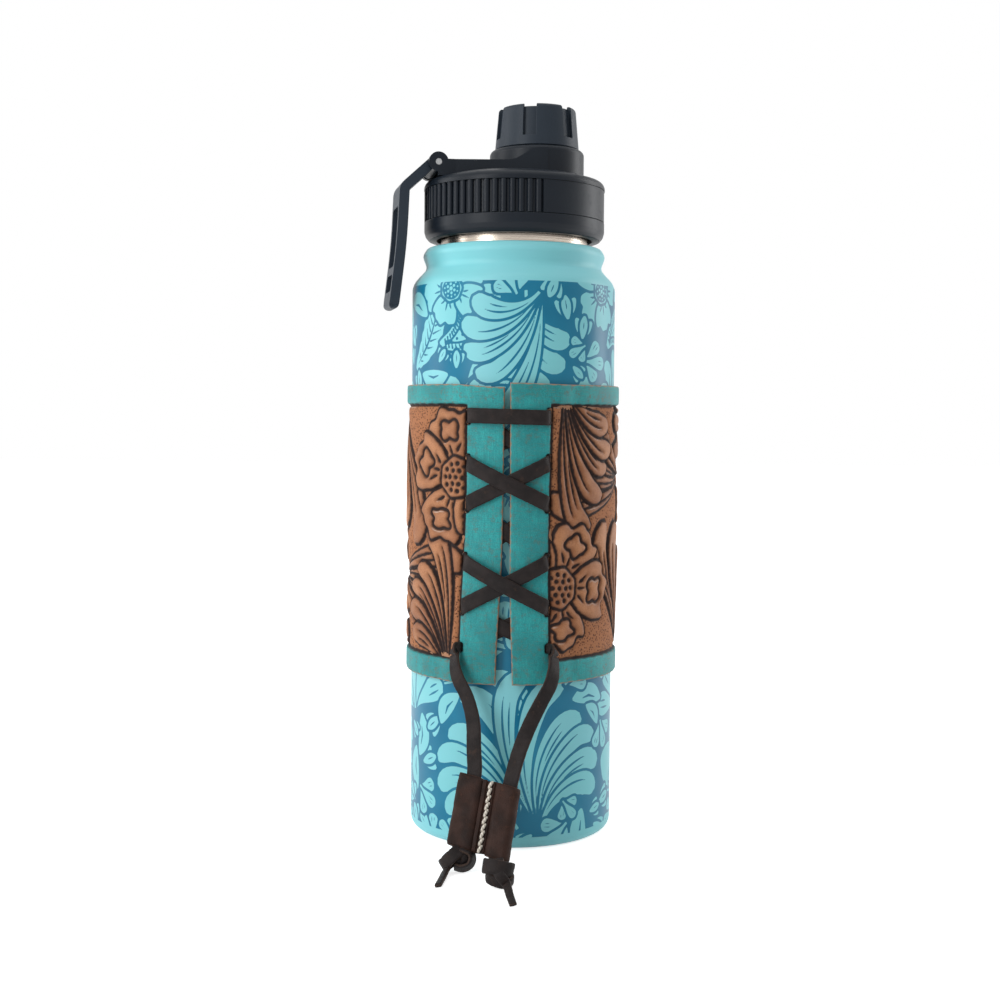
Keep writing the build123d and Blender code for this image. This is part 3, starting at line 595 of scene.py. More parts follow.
def flowerMotif(radius, petals, seed, tooled=False):
    # broad petals with wavy rims; a dark heart of light beads, or on leather a cut ring in each petal
    parts = []
    t = np.linspace(-1, 1, 49)
    spread = np.pi / petals * 1.12
    for index in range(petals):
        middle = 2 * np.pi * (index + 0.1 * math.sin(seed + 2 * index)) / petals
        reach = radius * (1 + 0.07 * math.sin(1.7 * index + seed))
        wave = (0.05 * np.cos(2.6 * np.pi * t + math.sin(seed + index))
                + 0.022 * np.sin(5.3 * np.pi * t + seed + index)) * (1 - t ** 6)
        edge = reach * (0.92 + wave) * (1 - 0.5 * np.abs(t) ** 5)
        base = polar(radius * 0.2, middle + spread * np.array([0.8, -0.8]))
        parts.append(("shape", np.vstack([polar(edge, middle + spread * t), base])))
        if tooled:
            parts.append(wavyRing(radius * 0.15, seed + index, middle, polar(reach * 0.64, middle)))
        for lean, near, out in ((-0.34, 0.36, 0.5), (0.05, 0.34, 0.47 if tooled else 0.6),
                                (0.36, 0.37, 0.52)):
            bend = np.linspace(middle + lean * spread, middle + lean * spread * 1.6, 9)
            parts.append(("pen", polar(np.linspace(near, out, 9) * radius, bend),
                          strokeWidths(9, min(radius * 0.055, 1.0), 0.3)))
    turn = np.linspace(0, 2 * np.pi, 36, endpoint=False)
    parts.append(("shape", polar(radius * 0.3 * (1 + 0.04 * np.sin(7 * turn)), turn)))
    if not tooled:
        parts.append(("dot", (0.0, 0.0), radius * 0.27))
    for ring, number, size in ((0.0, 1, 0.05), (0.11, 6, 0.037), (0.2, 11, 0.026)):
        for k in range(number):
            centre = polar(ring * radius, 2 * np.pi * k / number + ring * 9)
            parts.append(("dot", centre, radius * 0.03) if tooled else ("bead", centre, radius * size))
    return parts


def paisleyMotif(size):
    # a bent drop, with an inner drop, a ring of teeth and a row of dots
    spine = smoothCurve([(0, 0), (0.1, 0.4), (0.02, 0.8), (-0.25, 1.1), (-0.52, 1.12)], 6) * size
    s = np.linspace(0, 1, len(spine))
    widths = size * (0.05 + 0.36 * np.sin(np.pi * np.clip(1 - s, 0, 1) ** 0.62) ** 0.9)
    inner = blade(spine[2:-9], np.maximum(widths[2:-9] - size * 0.16, size * 0.02))
    loop = np.vstack([inner, inner[:1]])
    parts = [("shape", blade(spine, widths)), ("pen", loop, np.full(len(loop), size * 0.02))]
    side = sideOf(spine)[1]
    for here in range(2, len(spine) - 9):
        for way in (-1, 1):
            tooth = [spine[here] + way * side[here] * (widths[here] - size * inset)
                     for inset in (0.055, 0.125)]
            parts.append(("pen", np.array(tooth), np.array([0.02, 0.012]) * size))
    parts += [("dot", spine[here], size * 0.028) for here in range(4, len(spine) - 12, 2)]
    return parts


def budMotif(size):
    # three plump leaves on a short stem
    parts = []
    for lean in (-0.7, 0.7, 0.0):
        tip = np.array([math.sin(lean), math.cos(lean)]) * size
        line = smoothCurve([(0, -0.3 * size), tip * 0.45, tip], 7)
        s = np.linspace(0, 1, len(line))
        parts.append(("shape", blade(line, size * 0.3 * np.sin(np.pi * (0.05 + 0.9 * s)) ** 0.8)))
        parts.append(("pen", line[4:-3], strokeWidths(len(line) - 7, size * 0.08, 0.4)))
    return parts


def leafMotif(size):
    # one small bent leaf with a vein
    s = np.linspace(0.02, 0.98, 17)
    line = smoothCurve([(0, -1.3 * size), (0.35 * size, 0), (0, 1.3 * size)], 8)
    vein = np.array([(0.1, -0.6), (0.22, 0), (0.08, 0.5)]) * size
    return [("shape", blade(line, size * 0.62 * np.sin(np.pi * s) ** 0.8)),
            ("pen", vein, np.array([0.03, 0.08, 0.03]) * size)]


def frondMotif(length, width, bow, notches):
    # one long leaf with a toothed side and a split vein
    line = smoothCurve([(0, 0), (bow * length * 0.3, length * 0.35), (bow * length * 0.32, length * 0.7),
                        (0, length)], 12)
    s = np.linspace(0, 1, len(line))
    teeth = 1 + 0.13 * np.abs(np.sin(np.pi * notches * s))
    parts = [("shape", blade(line, width / 2 * np.sin(np.pi * (0.03 + 0.94 * s)) ** 0.75 * teeth)),
             ("pen", line[2:-4], strokeWidths(len(line) - 6, width * 0.1, 0.3))]
    along, side = sideOf(line)
    for here in range(5, len(line) - 6, 3):
        for way in (-1, 1):
            reach = width * 0.3 * math.sin(np.pi * s[here])
            start = line[here] + way * side[here] * width * 0.09
            parts.append(("pen", np.array([start, start + (way * side[here] + along[here]) * reach]),
                          np.array([0.035, 0.012]) * width))
    return parts


def placed(parts, x, z, turn=0.0, flip=False):
    a = math.radians(turn)
    spin = np.array([[math.cos(a), math.sin(a)], [-math.sin(a), math.cos(a)]])
    if flip:
        spin = np.array([[-1, 0], [0, 1]]) @ spin
    return [(kind, np.asarray(points, float) @ spin + (x, z), *size) for kind, points, *size in parts]


def markedFields(sheet, parts, shapeMargin, strokeMargin=None):
    # for each part, the window of the sheet round it and how far inside the part its points lie
    for kind, points, *size in parts:
        points = np.atleast_2d(points)
        margin = shapeMargin if kind == "shape" else strokeMargin or np.max(size[0]) + 0.6
        window = sheetWindow(sheet, points, margin)
        if window is None:
            continue
        where, x, z = window
        if kind == "shape":
            yield kind, where, insideDistance(x, z, points)
        elif kind in ("pen", "cut"):
            yield kind, where, strokeDistance(x, z, points, size[0])
        else:
            yield kind, where, size[0] - np.hypot(x - points[0, 0], z - points[0, 1])


# Print: a light shape keeps a dark line round it; pen strokes and dots are dark on it, beads light
def printMotif(sheet, parts, gap):
    for kind, where, s in markedFields(sheet, parts, 6.0):
        light = sheet["light"][where]
        if kind == "shape":
            light = np.maximum(np.minimum(light, -(s + gap)), s)
        else:
            light = np.maximum(light, s) if kind == "bead" else np.minimum(light, -s)
        sheet["light"][where] = light


# Tooling: a shape swells and presses down what lies round it; strokes are knife cuts, and each kind
# of mark has its share of the knife's depth and the width in which the leather rises again
tool = {"bevel": 0.62, "bevelWidth": 1.5, "swell": 0.24, "swellWidth": 1.6, "deepest": 0.85, "bite": 0.1,
        "line": 0.95, "knife": 0.34, "cut": (1.5, 0.7), "pen": (1.0, 0.55), "dot": (0.8, 0.3)}


def toolMotif(sheet, parts):
    for kind, where, s in markedFields(sheet, parts, 5.0, 2.0):
        lift, cut, light = sheet["lift"][where], sheet["cut"][where], sheet["light"][where]
        if kind == "shape":
            inside = s > 0
            pressed = lift - tool["bevel"] * np.exp(np.minimum(s, 0) / tool["bevelWidth"])
            swollen = tool["swell"] * (1 - np.exp(-np.maximum(s, 0) / tool["swellWidth"]))
            lift = np.where(inside, swollen, np.maximum(pressed, -tool["deepest"]))
            cut = np.minimum(np.where(inside, 9.0, cut), np.abs(s + tool["bite"]) - tool["line"] / 2)
            light = np.maximum(light, s)
        else:
            # pen strokes stay on the shapes
            depth, fade = tool[kind]
            marked = (light > -0.2) | (kind != "pen")
            lift = np.where(marked, lift - tool["knife"] * depth * np.exp(np.minimum(s, 0) / fade), lift)
            cut = np.where(marked, np.minimum(cut, -s), cut)
        sheet["lift"][where], sheet["cut"][where], sheet["light"][where] = lift, cut, light


# Printed film on the barrel
film = {"radius": 36.55, "foot": 4.4, "head": 195.0, "flareStart": 193.67, "flareRound": 6.05, "step": 0.36,
        "turn": 40.0, "gap": 0.95, "repeats": 3, "fillers": 200, "seed": 11, "leastRoom": 3.7}


def makePrint():
    length = 2 * math.pi * film["radius"]
    height = film["head"] - film["foot"]
    sheet = makeSheet(length, height, film["step"] * detail, True)
    tile = length / film["repeats"]
    for column in range(film["repeats"]):
        for row in range(2):
            # every other tile is mirrored
            flip = (column + row) % 2 == 1
            for parts, x, z, turn in (
                    (sprayMotif(60, 6, 1.5, 7.8, 0.85), 4, 3, 8),
                    (sprayMotif(46, 5, -1.3, 7.0, 0.75, 0.9, 0.4, 2), 74, 92, 160),
                    (sprayMotif(36, 4, 1.2, 6.4, 0.7, 1.1, 0.4, 4), 44, 50, -62),
                    (fanMotif(25, 5, 2.2, 8.8, 1), 51, 40, 12), (fanMotif(19, 4, 1.8, 7.4, 3), 8, 66, 60),
                    (paisleyMotif(22), 56, 0, 28), (frondMotif(32, 10, 0.5, 7), 26, 66, -24),
                    (paisleyMotif(19), 42, 74, -62), (flowerMotif(17, 6, column + 2 * row), 71, 28, 12),
                    (flowerMotif(14, 5, 3 + column + row), 47, 93, 40)):
                spot = column * tile + (tile - x if flip else x)
                printMotif(sheet, placed(parts, spot, row * height / 2 + z, turn, flip), film["gap"])
    # small buds, fans and leaves fill what dark ground is left
    rng = np.random.default_rng(film["seed"])
    for index in range(film["fillers"]):
        row, col = divmod(int(np.argmin(sheet["light"])), sheet["cols"])
        room = -sheet["light"][row, col]
        if room < film["leastRoom"]:
            break
        turn = rng.uniform(0, 360)
        if index % 3 == 0:
            parts = budMotif(room * 1.05)
        elif index % 3 == 1:
            parts = placed(fanMotif(room * 1.9, 3, 1.3, room * 0.8, index), 0, -0.95 * room)
        else:
            parts = leafMotif(room)
        printMotif(sheet, placed(parts, col * sheet["step"], row * sheet["rise"], turn), film["gap"])
    print("print filled with", index, "small motifs")
    rows, cols = sheet["rows"], sheet["cols"]
    z = (film["foot"] + np.arange(rows) * sheet["rise"])[:, None]
    over = np.maximum(z - film["flareStart"], 0)
    inner = film["radius"] - film["flareRound"]
    radius = np.where(over > 0, inner + np.sqrt(film["flareRound"] ** 2 - over ** 2), film["radius"])
    angle = np.arange(cols) / cols * 2 * np.pi + math.radians(film["turn"])
    mesh = buildMesh("printFilm", ringSpot(radius, angle, z).reshape(-1, 3),
                     [gridFaces(rows, cols, wraps=True)])
    storeValues(mesh, "inkDistance", sheet["light"])
    addPiece("printFilm", mesh, "bottle", materials["film"])


makePrint()
print("print made")

# Leather sleeve. Angles are from the opening, in degrees, positive towards the right flap.
sleeve = {"inner": 36.8, "outer": 38.42, "skin": 0.1, "fleshGap": 0.08, "lift": 1.5, "flapEnd": 25.0,
          "swellEnd": 38.0, "foot": 57.85, "height": 102.25, "turn": -3.6, "edgeAngle": 2.0,
          "holeAngle": 21.5, "holeWidth": 2.0, "holeHeight": 5.4, "lowHoleShare": 0.55, "holeRound": 0.5,
          "panelAngle": 22.2, "calmAngle": 75.0, "topBorder": 6.8, "footBorder": 7.8, "step": 0.3,
          "coarse": 8, "flapRadius": 40.0, "leftDrop": -1.1, "rightRise": 0.4}
# each flap's edge and the edge of its tooled panel, in degrees from the opening, foot to top
flaps = {"heights": (59.2, 72.0, 82.6, 96.7, 117.8, 135.2, 158.9),
         "leftEdge": (4.7, 4.1, 3.2, 1.9, 1.45, 1.15, 0.95),
         "leftPanel": (24.4, 23.65, 23.05, 21.95, 20.4, 20.2, 19.9),
         "rightEdge": (3.7, 3.0, 2.4, 2.1, 2.1, 1.9, 1.8),
         "rightPanel": (22.3, 22.1, 21.9, 21.65, 21.7, 22.1, 22.6)}
rowShares = (0.894, 0.742, 0.600, 0.414, 0.255, 0.121)
rowHeights = [sleeve["foot"] + share * sleeve["height"] for share in rowShares]
# the leather's relief: depths and the widths in which they fade, in millimetres
relief = {"line": 0.35, "lineHalf": 0.42, "lineDepth": 0.62, "lineFlat": 0.2, "fieldFade": 0.9,
          "borderFade": 0.3, "waver": 0.12, "cutDepth": 0.38, "cutFade": 0.28, "groundDepth": 0.42,
          "slotDepth": 1.45, "rimDepth": 0.34, "rimFade": 0.35, "highest": 0.26, "sway": 0.1}


def sleeveSpot(angle, radius, height):
    # angle in degrees from the opening to a point about the bottle's axis
    return ringSpot(radius, np.radians(np.asarray(angle) + sleeve["turn"] - 90), height)


def flapLine(name, height):
    # the tabled angle at a height, with its corners smoothed
    return sum(np.interp(height + d, flaps["heights"], flaps[name]) for d in (-7, -3.5, 0, 3.5, 7)) / 5


def openedAngle(angle, height, side):
    # where a point of the flat pattern lies once the flaps have spread
    panel = sleeve["panelAngle"]
    near = np.clip((panel - angle) / (panel - sleeve["edgeAngle"]), 0, 1)
    far = (1 - near) * (1 - ease(angle, panel, sleeve["calmAngle"]))
    return (angle + (flapLine(side + "Edge", height) - sleeve["edgeAngle"]) * near
            + (flapLine(side + "Panel", height) - panel) * far)


def tooledPanel(width, height, step):
    sheet = makeSheet(width, height, step, False)
    # two halves, the second turned end for end, meet in a large flower at the back
    for half in range(2):
        for parts, x, z, turn in (
                (sprayMotif(66, 4, 0.75, 7.5, 0.35, 0.7, 0.4, 1), 98, -4, -62),
                (sprayMotif(36, 4, -0.6, 7.4, 0.75, 1.0, 0.4, 3), 97, -4, 52),
                (sprayMotif(40, 4, 0.7, 7.6, 0.7, 1.0, 0.45, 4), 66, 92, 118),
                (flowerMotif(13.0, 5, 2.0, True), 92, 78, 10),
                (flowerMotif(25.0, 5, 1.0 + half, True), 64, 48, 20),
                (sprayMotif(60, 5, 0.9, 8.2, 0.6, 1.0, 0.45, half), 50, -4, 26),
                (sprayMotif(48, 4, 0.8, 7.8, 0.6, 1.1, 0.45, 2), 47, 63, 98),
                (sprayMotif(52, 5, -0.9, 8.0, 0.6, 1.0, 0.45, 1 + half), 6, 94, -168),
                (flowerMotif(24.0, 5, 0.4 + 2 * half, True), 4, 25, 60)):
            spot = (width - x, height - z) if half else (x, z)
            toolMotif(sheet, placed(parts, *spot, turn + 180 * half))
    toolMotif(sheet, placed(flowerMotif(24.0, 6, 2.0, True), width / 2, height / 2, 15))
    return sheet


def panelReader(sheet, x, z):
    # a function that reads the sheet's values at the given places
    u = np.clip(x / sheet["step"], 0, sheet["cols"] - 1.001)
    v = np.clip(z / sheet["rise"], 0, sheet["rows"] - 1.001)
    col, row = u.astype(int), v.astype(int)
    right, up = u - col, v - row

    def read(name):
        values = sheet[name]
        low = values[row, col] * (1 - right) + values[row, col + 1] * right
        high = values[row + 1, col] * (1 - right) + values[row + 1, col + 1] * right
        return low * (1 - up) + high * up

    return read


def rimFans(outer, inner, coarse):
    # triangles between the fine face's edges and the coarse face's, for every side of the sheet
    fans = []
    for outerLine, innerLine, flipped in ((outer[0], inner[0], False), (outer[-1], inner[-1], True),
                                          (outer[:, 0], inner[:, 0], True),
                                          (outer[:, -1], inner[:, -1], False)):
        for k in range(len(innerLine) - 1):
            half = k * coarse + coarse // 2
            made = [(outerLine[i + 1], outerLine[i], innerLine[k + (i >= half)])
                    for i in range(k * coarse, (k + 1) * coarse)]
            made.append((outerLine[half], innerLine[k], innerLine[k + 1]))
            fans += [m[::-1] for m in made] if flipped else made
    return np.array(fans)


def makeSleeve():
    span = 2 * math.pi * sleeve["outer"]
    step = sleeve["step"] * detail
    edgeAngle, panelAngle, coarse = sleeve["edgeAngle"], sleeve["panelAngle"], sleeve["coarse"]
    cols = int((360 - 2 * edgeAngle) / 360 * span / step / coarse) * coarse + 1
    rows = int(sleeve["height"] / step / coarse) * coarse + 1
    across = np.linspace(edgeAngle, 360 - edgeAngle, cols)[None, :]
    up = np.linspace(0, sleeve["height"], rows)[:, None]
    left = across > 180
    fromOpening = np.minimum(across, 360 - across)
    mmPerDegree = math.radians(sleeve["flapRadius"])
    level = sleeve["foot"] + up
    angle = np.where(left, 360 - openedAngle(fromOpening, level, "left"),
                     openedAngle(fromOpening, level, "right"))
    # the tooled field between the borders
    panelWidth = (360 - 2 * panelAngle) / 360 * span
    panelHeight = sleeve["height"] - sleeve["topBorder"] - sleeve["footBorder"]
    x = (across - panelAngle) / 360 * span + up * 0
    z = up - sleeve["footBorder"] + across * 0
    inPanel = np.minimum(np.minimum(x, panelWidth - x), np.minimum(z, panelHeight - z))
    read = panelReader(tooledPanel(panelWidth, panelHeight, step), x, z)
    within = ease(inPanel, 0.0, 0.6)
    cutDistance = np.where(inPanel > 0.2, read("cut"), 9.0)
    # the line round the panel is cut deep and bevelled towards the field
    fromLine = np.abs(inPanel - relief["line"])
    fade = np.where(inPanel > relief["line"], relief["fieldFade"], relief["borderFade"])
    lift = (read("lift") * within
            - relief["lineDepth"] * np.exp(-np.maximum(fromLine - relief["lineFlat"], 0) / fade))
    cutDistance = np.minimum(cutDistance, fromLine - relief["lineHalf"])
    waver = relief["waver"] * np.sin(x * 1.3 + 2 * np.sin(z * 0.9)) * np.sin(z * 1.7)
    cut = 1 - ease(cutDistance + waver, -0.05, 0.34)
    lift = lift - relief["cutDepth"] * np.exp(-np.maximum(cutDistance, 0) / relief["cutFade"])
    ground = ease(-read("light"), 0.5, 1.0) * within * (inPanel > 0.8)
    lift = lift - relief["groundDepth"] * ground
    hollow = 0.75 * np.exp(-np.maximum(cutDistance - 0.2, 0) / 0.9) * within
    # a painted highlight: pale colour on the upper slopes beside the cuts, here and there
    slope = -np.gradient(lift, axis=0) / (sleeve["height"] / (rows - 1))
    glint = ease(slope, 0.35, 0.8) * ease(cutDistance, 0.15, 0.5) * (1 - ease(cutDistance, 0.7, 1.2))
    glint = glint * ease(np.sin(x * 0.35 + 1.3) + np.sin(z * 0.23 + x * 0.11), 0.5, 1.3) * 0.75
    # slots for the lace, the lowest ones pulled small
    for height in rowHeights:
        share = sleeve["lowHoleShare"] if height == rowHeights[-1] else 1.0
        aside = np.abs(fromOpening - sleeve["holeAngle"]) * mmPerDegree - sleeve["holeWidth"] / 2
        above = np.abs(level - height) - sleeve["holeHeight"] * share / 2
        slot = np.hypot(np.maximum(aside + sleeve["holeRound"], 0),
                        np.maximum(above + sleeve["holeRound"], 0)) - sleeve["holeRound"]
        lift = lift - relief["slotDepth"] * (1 - ease(slot, -0.35, 0.3))
        cut = np.maximum(cut, 1 - ease(slot, -0.1, 0.55))
    # soft edges all round, bare leather where they were cut
    fromRim = np.minimum(np.minimum(up, sleeve["height"] - up), (fromOpening - edgeAngle) * mmPerDegree)
    lift = lift - relief["rimDepth"] * np.exp(-np.maximum(fromRim, 0) / relief["rimFade"])
    rim = 1 - ease(fromRim + 0.12 * np.sin(up * 2.1 + across), 0.0, 0.45)
    cut = cut * (1 - rim)
    wear = np.exp(-np.maximum(np.minimum(fromRim, np.abs(inPanel)), 0) / 1.1)
    wear = np.maximum(wear, 0.45 * ease(-np.minimum(z, panelHeight - z), 0.0, 1.5) * ease(x, -3.0, 3.0))
    raised = sleeve["lift"] * (1 - ease(fromOpening, sleeve["flapEnd"], sleeve["swellEnd"]))
    wave = relief["sway"] * np.sin(up * 0.09 + np.radians(across) * 3)
    radius = sleeve["outer"] + raised + np.minimum(lift, relief["highest"]) + wave - sleeve["skin"]
    top = np.where(left, sleeve["leftDrop"], sleeve["rightRise"]) * (1 - ease(fromOpening, 3, 34))
    height = level + top * ease(up / sleeve["height"], 0.7, 1.0)
    outside = sleeveSpot(angle, radius, height)
    # the flesh side is coarser
    kept = (slice(None, None, coarse), slice(None, None, coarse))
    inside = sleeveSpot(angle[kept], sleeve["inner"] + sleeve["fleshGap"] + raised[:, ::coarse],
                        height[kept])
    count, backCount = rows * cols, inside.shape[0] * inside.shape[1]
    numbers = np.arange(count + backCount)
    faces = [gridFaces(rows, cols), gridFaces(*inside.shape[:2], count)[:, ::-1],
             rimFans(numbers[:count].reshape(rows, cols), numbers[count:].reshape(inside.shape[:2]), coarse)]
    mesh = buildMesh("tooledSleeve", np.vstack([outside.reshape(-1, 3), inside.reshape(-1, 3)]), faces)
    for name, values in (("cut", cut), ("ground", ground), ("teal", 1 - ease(inPanel, 0.0, 0.35)),
                         ("hollow", hollow), ("rim", rim), ("glint", glint), ("wear", wear)):
        back = np.full(backCount, 1.0 if name == "rim" else 0.0)
        storeValues(mesh, name, np.concatenate([(values + 0 * cut).ravel(), back]))
    addPiece("tooledSleeve", mesh, "sleeve", materials["leather"], ["leather_sleeve"])


makeSleeve()
print("sleeve made")

# Lace through the flaps. A strand runs between a left and a right slot, outside or behind the flaps.
lace = {"width": 5.2, "thickness": 1.3, "outside": 40.3, "behind": 36.9, "outsideLift": 1.45,
        "behindLift": 0.5, "points": 34, "dipShare": 0.07, "outsideDip": -2.4, "behindDip": 1.2,
        "dipTilt": 0.95, "reach": 0.35}


def strandMesh(leftHeight, rightHeight, bow, hidden, seed):
    t = np.linspace(0, 1, lace["points"])
    reach = sleeve["holeAngle"] + (0.0 if hidden else lace["reach"])
    start = -openedAngle(reach, leftHeight, "left")
    angle = start + (openedAngle(reach, rightHeight, "right") - start) * t
    height = leftHeight + (rightHeight - leftHeight) * t
    # each end turns down into its slot
    dip = 1 - ease(np.minimum(t, 1 - t), 0.0, lace["dipShare"])
    radius = (lace["behind" if hidden else "outside"] + lace["thickness"] / 2
              + bow * np.sin(np.pi * t) ** 0.8 + lace["behindDip" if hidden else "outsideDip"] * dip ** 1.5)
    centres = sleeveSpot(angle, radius, height)
    outward = sleeveSpot(angle, np.ones_like(angle), 0.0)
    tilt = dip * lace["dipTilt"] * np.sign(t - 0.5) * (-1 if hidden else 1)
    sideways = np.stack([-outward[:, 1], outward[:, 0], np.zeros_like(t)], axis=1)
    normals = unit(outward * np.cos(tilt)[:, None] + sideways * np.sin(tilt)[:, None])
    return stripMesh("strand", centres, normals, lace["width"], lace["thickness"], seed=seed)


def makeLacing():
    strands = [strandMesh(rowHeights[0] + 0.2, rowHeights[0] - 0.5, 0.1, False, 1)]
    # a cross between every two rows, first those outside the flaps, then those behind them
    for upper in (1, 3, 0, 2, 4):
        hidden = upper % 2 == 0
        lift, seed = (lace["behindLift"], upper + 9) if hidden else (lace["outsideLift"], upper + 2)
        high, low = rowHeights[upper:upper + 2]
        strands += [strandMesh(low, high, 0.0, hidden, seed), strandMesh(high, low, lift, hidden, seed + 3)]
    addPiece("lacing", joinMeshes("lacing", strands), "sleeve", materials["lace"],
             ["lace_laced"])


makeLacing()
print("lacing made")

# Free ends: the same points as the CAD route, in metres, from each knot up to its slot
freeEnds = {
    "left": {"points": [(-0.01806, -0.06063, 0.00237), (-0.01483, -0.05405, 0.01715),
                        (-0.01205, -0.04827, 0.02903), (-0.0127, -0.0466, 0.0375),
                        (-0.0127, -0.0445, 0.0463), (-0.015, -0.0427, 0.0546), (-0.0179, -0.0402, 0.0616),
                        (-0.01797, -0.03718, 0.06762)],
             "length": 0.071, "angle": -22.2, "swing": 1.9, "replaces": "lace_left_end"},
    "right": {"points": [(-0.0041, -0.0725, 0.0041), (-0.00555, -0.06409, 0.00453),
                         (-0.00293, -0.05874, 0.01664), (-0.00015, -0.05296, 0.02852),
                         (0.0022, -0.0509, 0.0372), (0.0059, -0.0486, 0.0463), (0.0102, -0.0466, 0.0543),
                         (0.0135, -0.0436, 0.061), (0.01327, -0.03943, 0.06762)],
              "length": 0.079, "angle": 22.2, "swing": 1.0, "replaces": "lace_right_end"}}
# where along its way a free end turns to the flap, twists and swings aside, and how it folds into its slot
fold = {"leads": (0.5, 0.85), "twists": (0.86, 1.0), "swings": (0.76, 0.96), "narrows": (0.5, 0.8),
        "twist": 0.5, "narrowing": 0.04, "mouth": (40.6, 0.3), "inside": (37.9, 0.4), "width": 0.94,
        "taper": 0.42, "seed": 11}


def readRoute(points):
    curve = bpy.data.curves.new("route", "CURVE")
    curve.dimensions = "3D"
    curve.resolution_u = 10
    spline = curve.splines.new("NURBS")
    spline.points.add(len(points) - 1)
    for point, place in zip(spline.points, points):
        point.co = (*place, 1.0)
    spline.order_u = 3
    spline.use_endpoint_u = True
    holder = bpy.data.objects.new("route", curve)
    mesh = bpy.data.meshes.new_from_object(holder)
    line = np.array([v.co[:] for v in mesh.vertices]) / mm
    bpy.data.meshes.remove(mesh)
    bpy.data.objects.remove(holder)
    bpy.data.curves.remove(curve)
    return line


# The slider's own axes, from the straight stretches of both ends
slider = {"length": 24.0, "drop": 0.2, "lean": 2.5, "skew": 0.165, "tubeWidth": 8.8, "tubeDepth": 4.9,
          "leftWider": 0.9, "leftShift": -0.4, "holeWidth": 5.9, "holeDepth": 2.2, "around": 36,
          "levels": 26, "endRound": 0.05}
leftFoot, leftHead = (np.array(freeEnds["left"]["points"][k]) / mm for k in (0, 2))
rightHead = np.array(freeEnds["right"]["points"][3]) / mm
sliderUp = unit(leftHead - leftFoot)
sliderRight = rightHead - leftHead
sliderSpacing = float(np.linalg.norm(sliderRight))
sliderRight = unit(sliderRight - sliderUp * np.dot(sliderRight, sliderUp))
sliderFront = np.cross(sliderRight, sliderUp)
sliderMiddle = (leftHead + rightHead) / 2 - sliderUp * (slider["drop"] + slider["length"] / 2)
lean = math.radians(slider["lean"])
sliderUp, sliderRight = (sliderUp * math.cos(lean) - sliderRight * math.sin(lean),
                         sliderRight * math.cos(lean) + sliderUp * math.sin(lean))


def sliderSpot(right, front, up):
    right, front, up = np.broadcast_arrays(right, front, up)
    up = up - slider["skew"] * (right + sliderSpacing / 2)
    return (sliderMiddle + right[..., None] * sliderRight + front[..., None] * sliderFront
            + up[..., None] * sliderUp)


foldParts = []


def makeFreeEnd(side):
    end = freeEnds[side]
    line = readRoute(end["points"])
    share = lengthAlong(line)[:, None]
    share = share / share[-1]
    sign = math.copysign(1.0, end["angle"])
    outward = sleeveSpot(end["angle"], 1.0, 0.0)
    away = np.array([-outward[1], outward[0], 0.0]) * sign
    lead = ease(share, *fold["leads"])
    normals = unit(sliderFront * (1 - lead) + outward * lead)
    twist = fold["twist"] * ease(share, *fold["twists"])
    normals = unit(normals * np.cos(twist) + away * np.sin(twist))
    # near its slot the strip swings out sideways before it turns in
    drawn = line + away * end["swing"] * ease(share, *fold["swings"])
    slot = openedAngle(sleeve["holeAngle"], rowHeights[-1], side) * sign
    inside, mouth = (sleeveSpot(slot, radius, rowHeights[-1] + rise)
                     for radius, rise in (fold["inside"], fold["mouth"]))
    over = smoothCurve([drawn[-1], drawn[-1] + (0, 0, 1.6) + outward * 0.3 - away * 0.3,
                        (drawn[-1] + mouth) / 2 + (0, 0, 1.3) + outward * 0.9, mouth, inside])
    way = np.linspace(0, 1, len(over))[:, None]
    turned = unit(normals[-1] * (1 - ease(way, 0.0, 0.6)) + away * ease(way, 0.0, 0.6))
    foldParts.append(stripMesh("fold", over, turned,
                               lace["width"] * (fold["width"] - fold["taper"] * way[:, 0]),
                               lace["thickness"], seed=fold["seed"]))
    width = lace["width"] * (1 - fold["narrowing"] * ease(share[:, 0], *fold["narrows"]))
    mesh = stripMesh("lace" + side, drawn, normals, width, lace["thickness"], seed=5, ragged=0.015)
    piece = addPiece(side + "FreeEnd", mesh, "sleeve", materials["lace"], [end["replaces"]])


def flatRing(width, depth, count):
    # the outline of a flat tube: two half rounds joined by flats
    radius = depth / 2
    right = polar(radius, np.linspace(-np.pi / 2, np.pi / 2, count // 2)) + (width / 2 - radius, 0)
    return np.vstack([right, -right])


# the sewn strip between the tubes and the wrapped leather's two edges, one over the other:
# right, front, sway, width, thickness, points round, seed and raggedness of each
seamStrips = ((0.0, 0.0, 0.0, 5.6, 2.3, 28, 3, 0.02), (0.75, 0.9, 0.045, 3.0, 1.2, 24, 6, 0.03),
              (-1.45, 1.3, -0.03, 1.5, 1.2, 20, 9, 0.03))


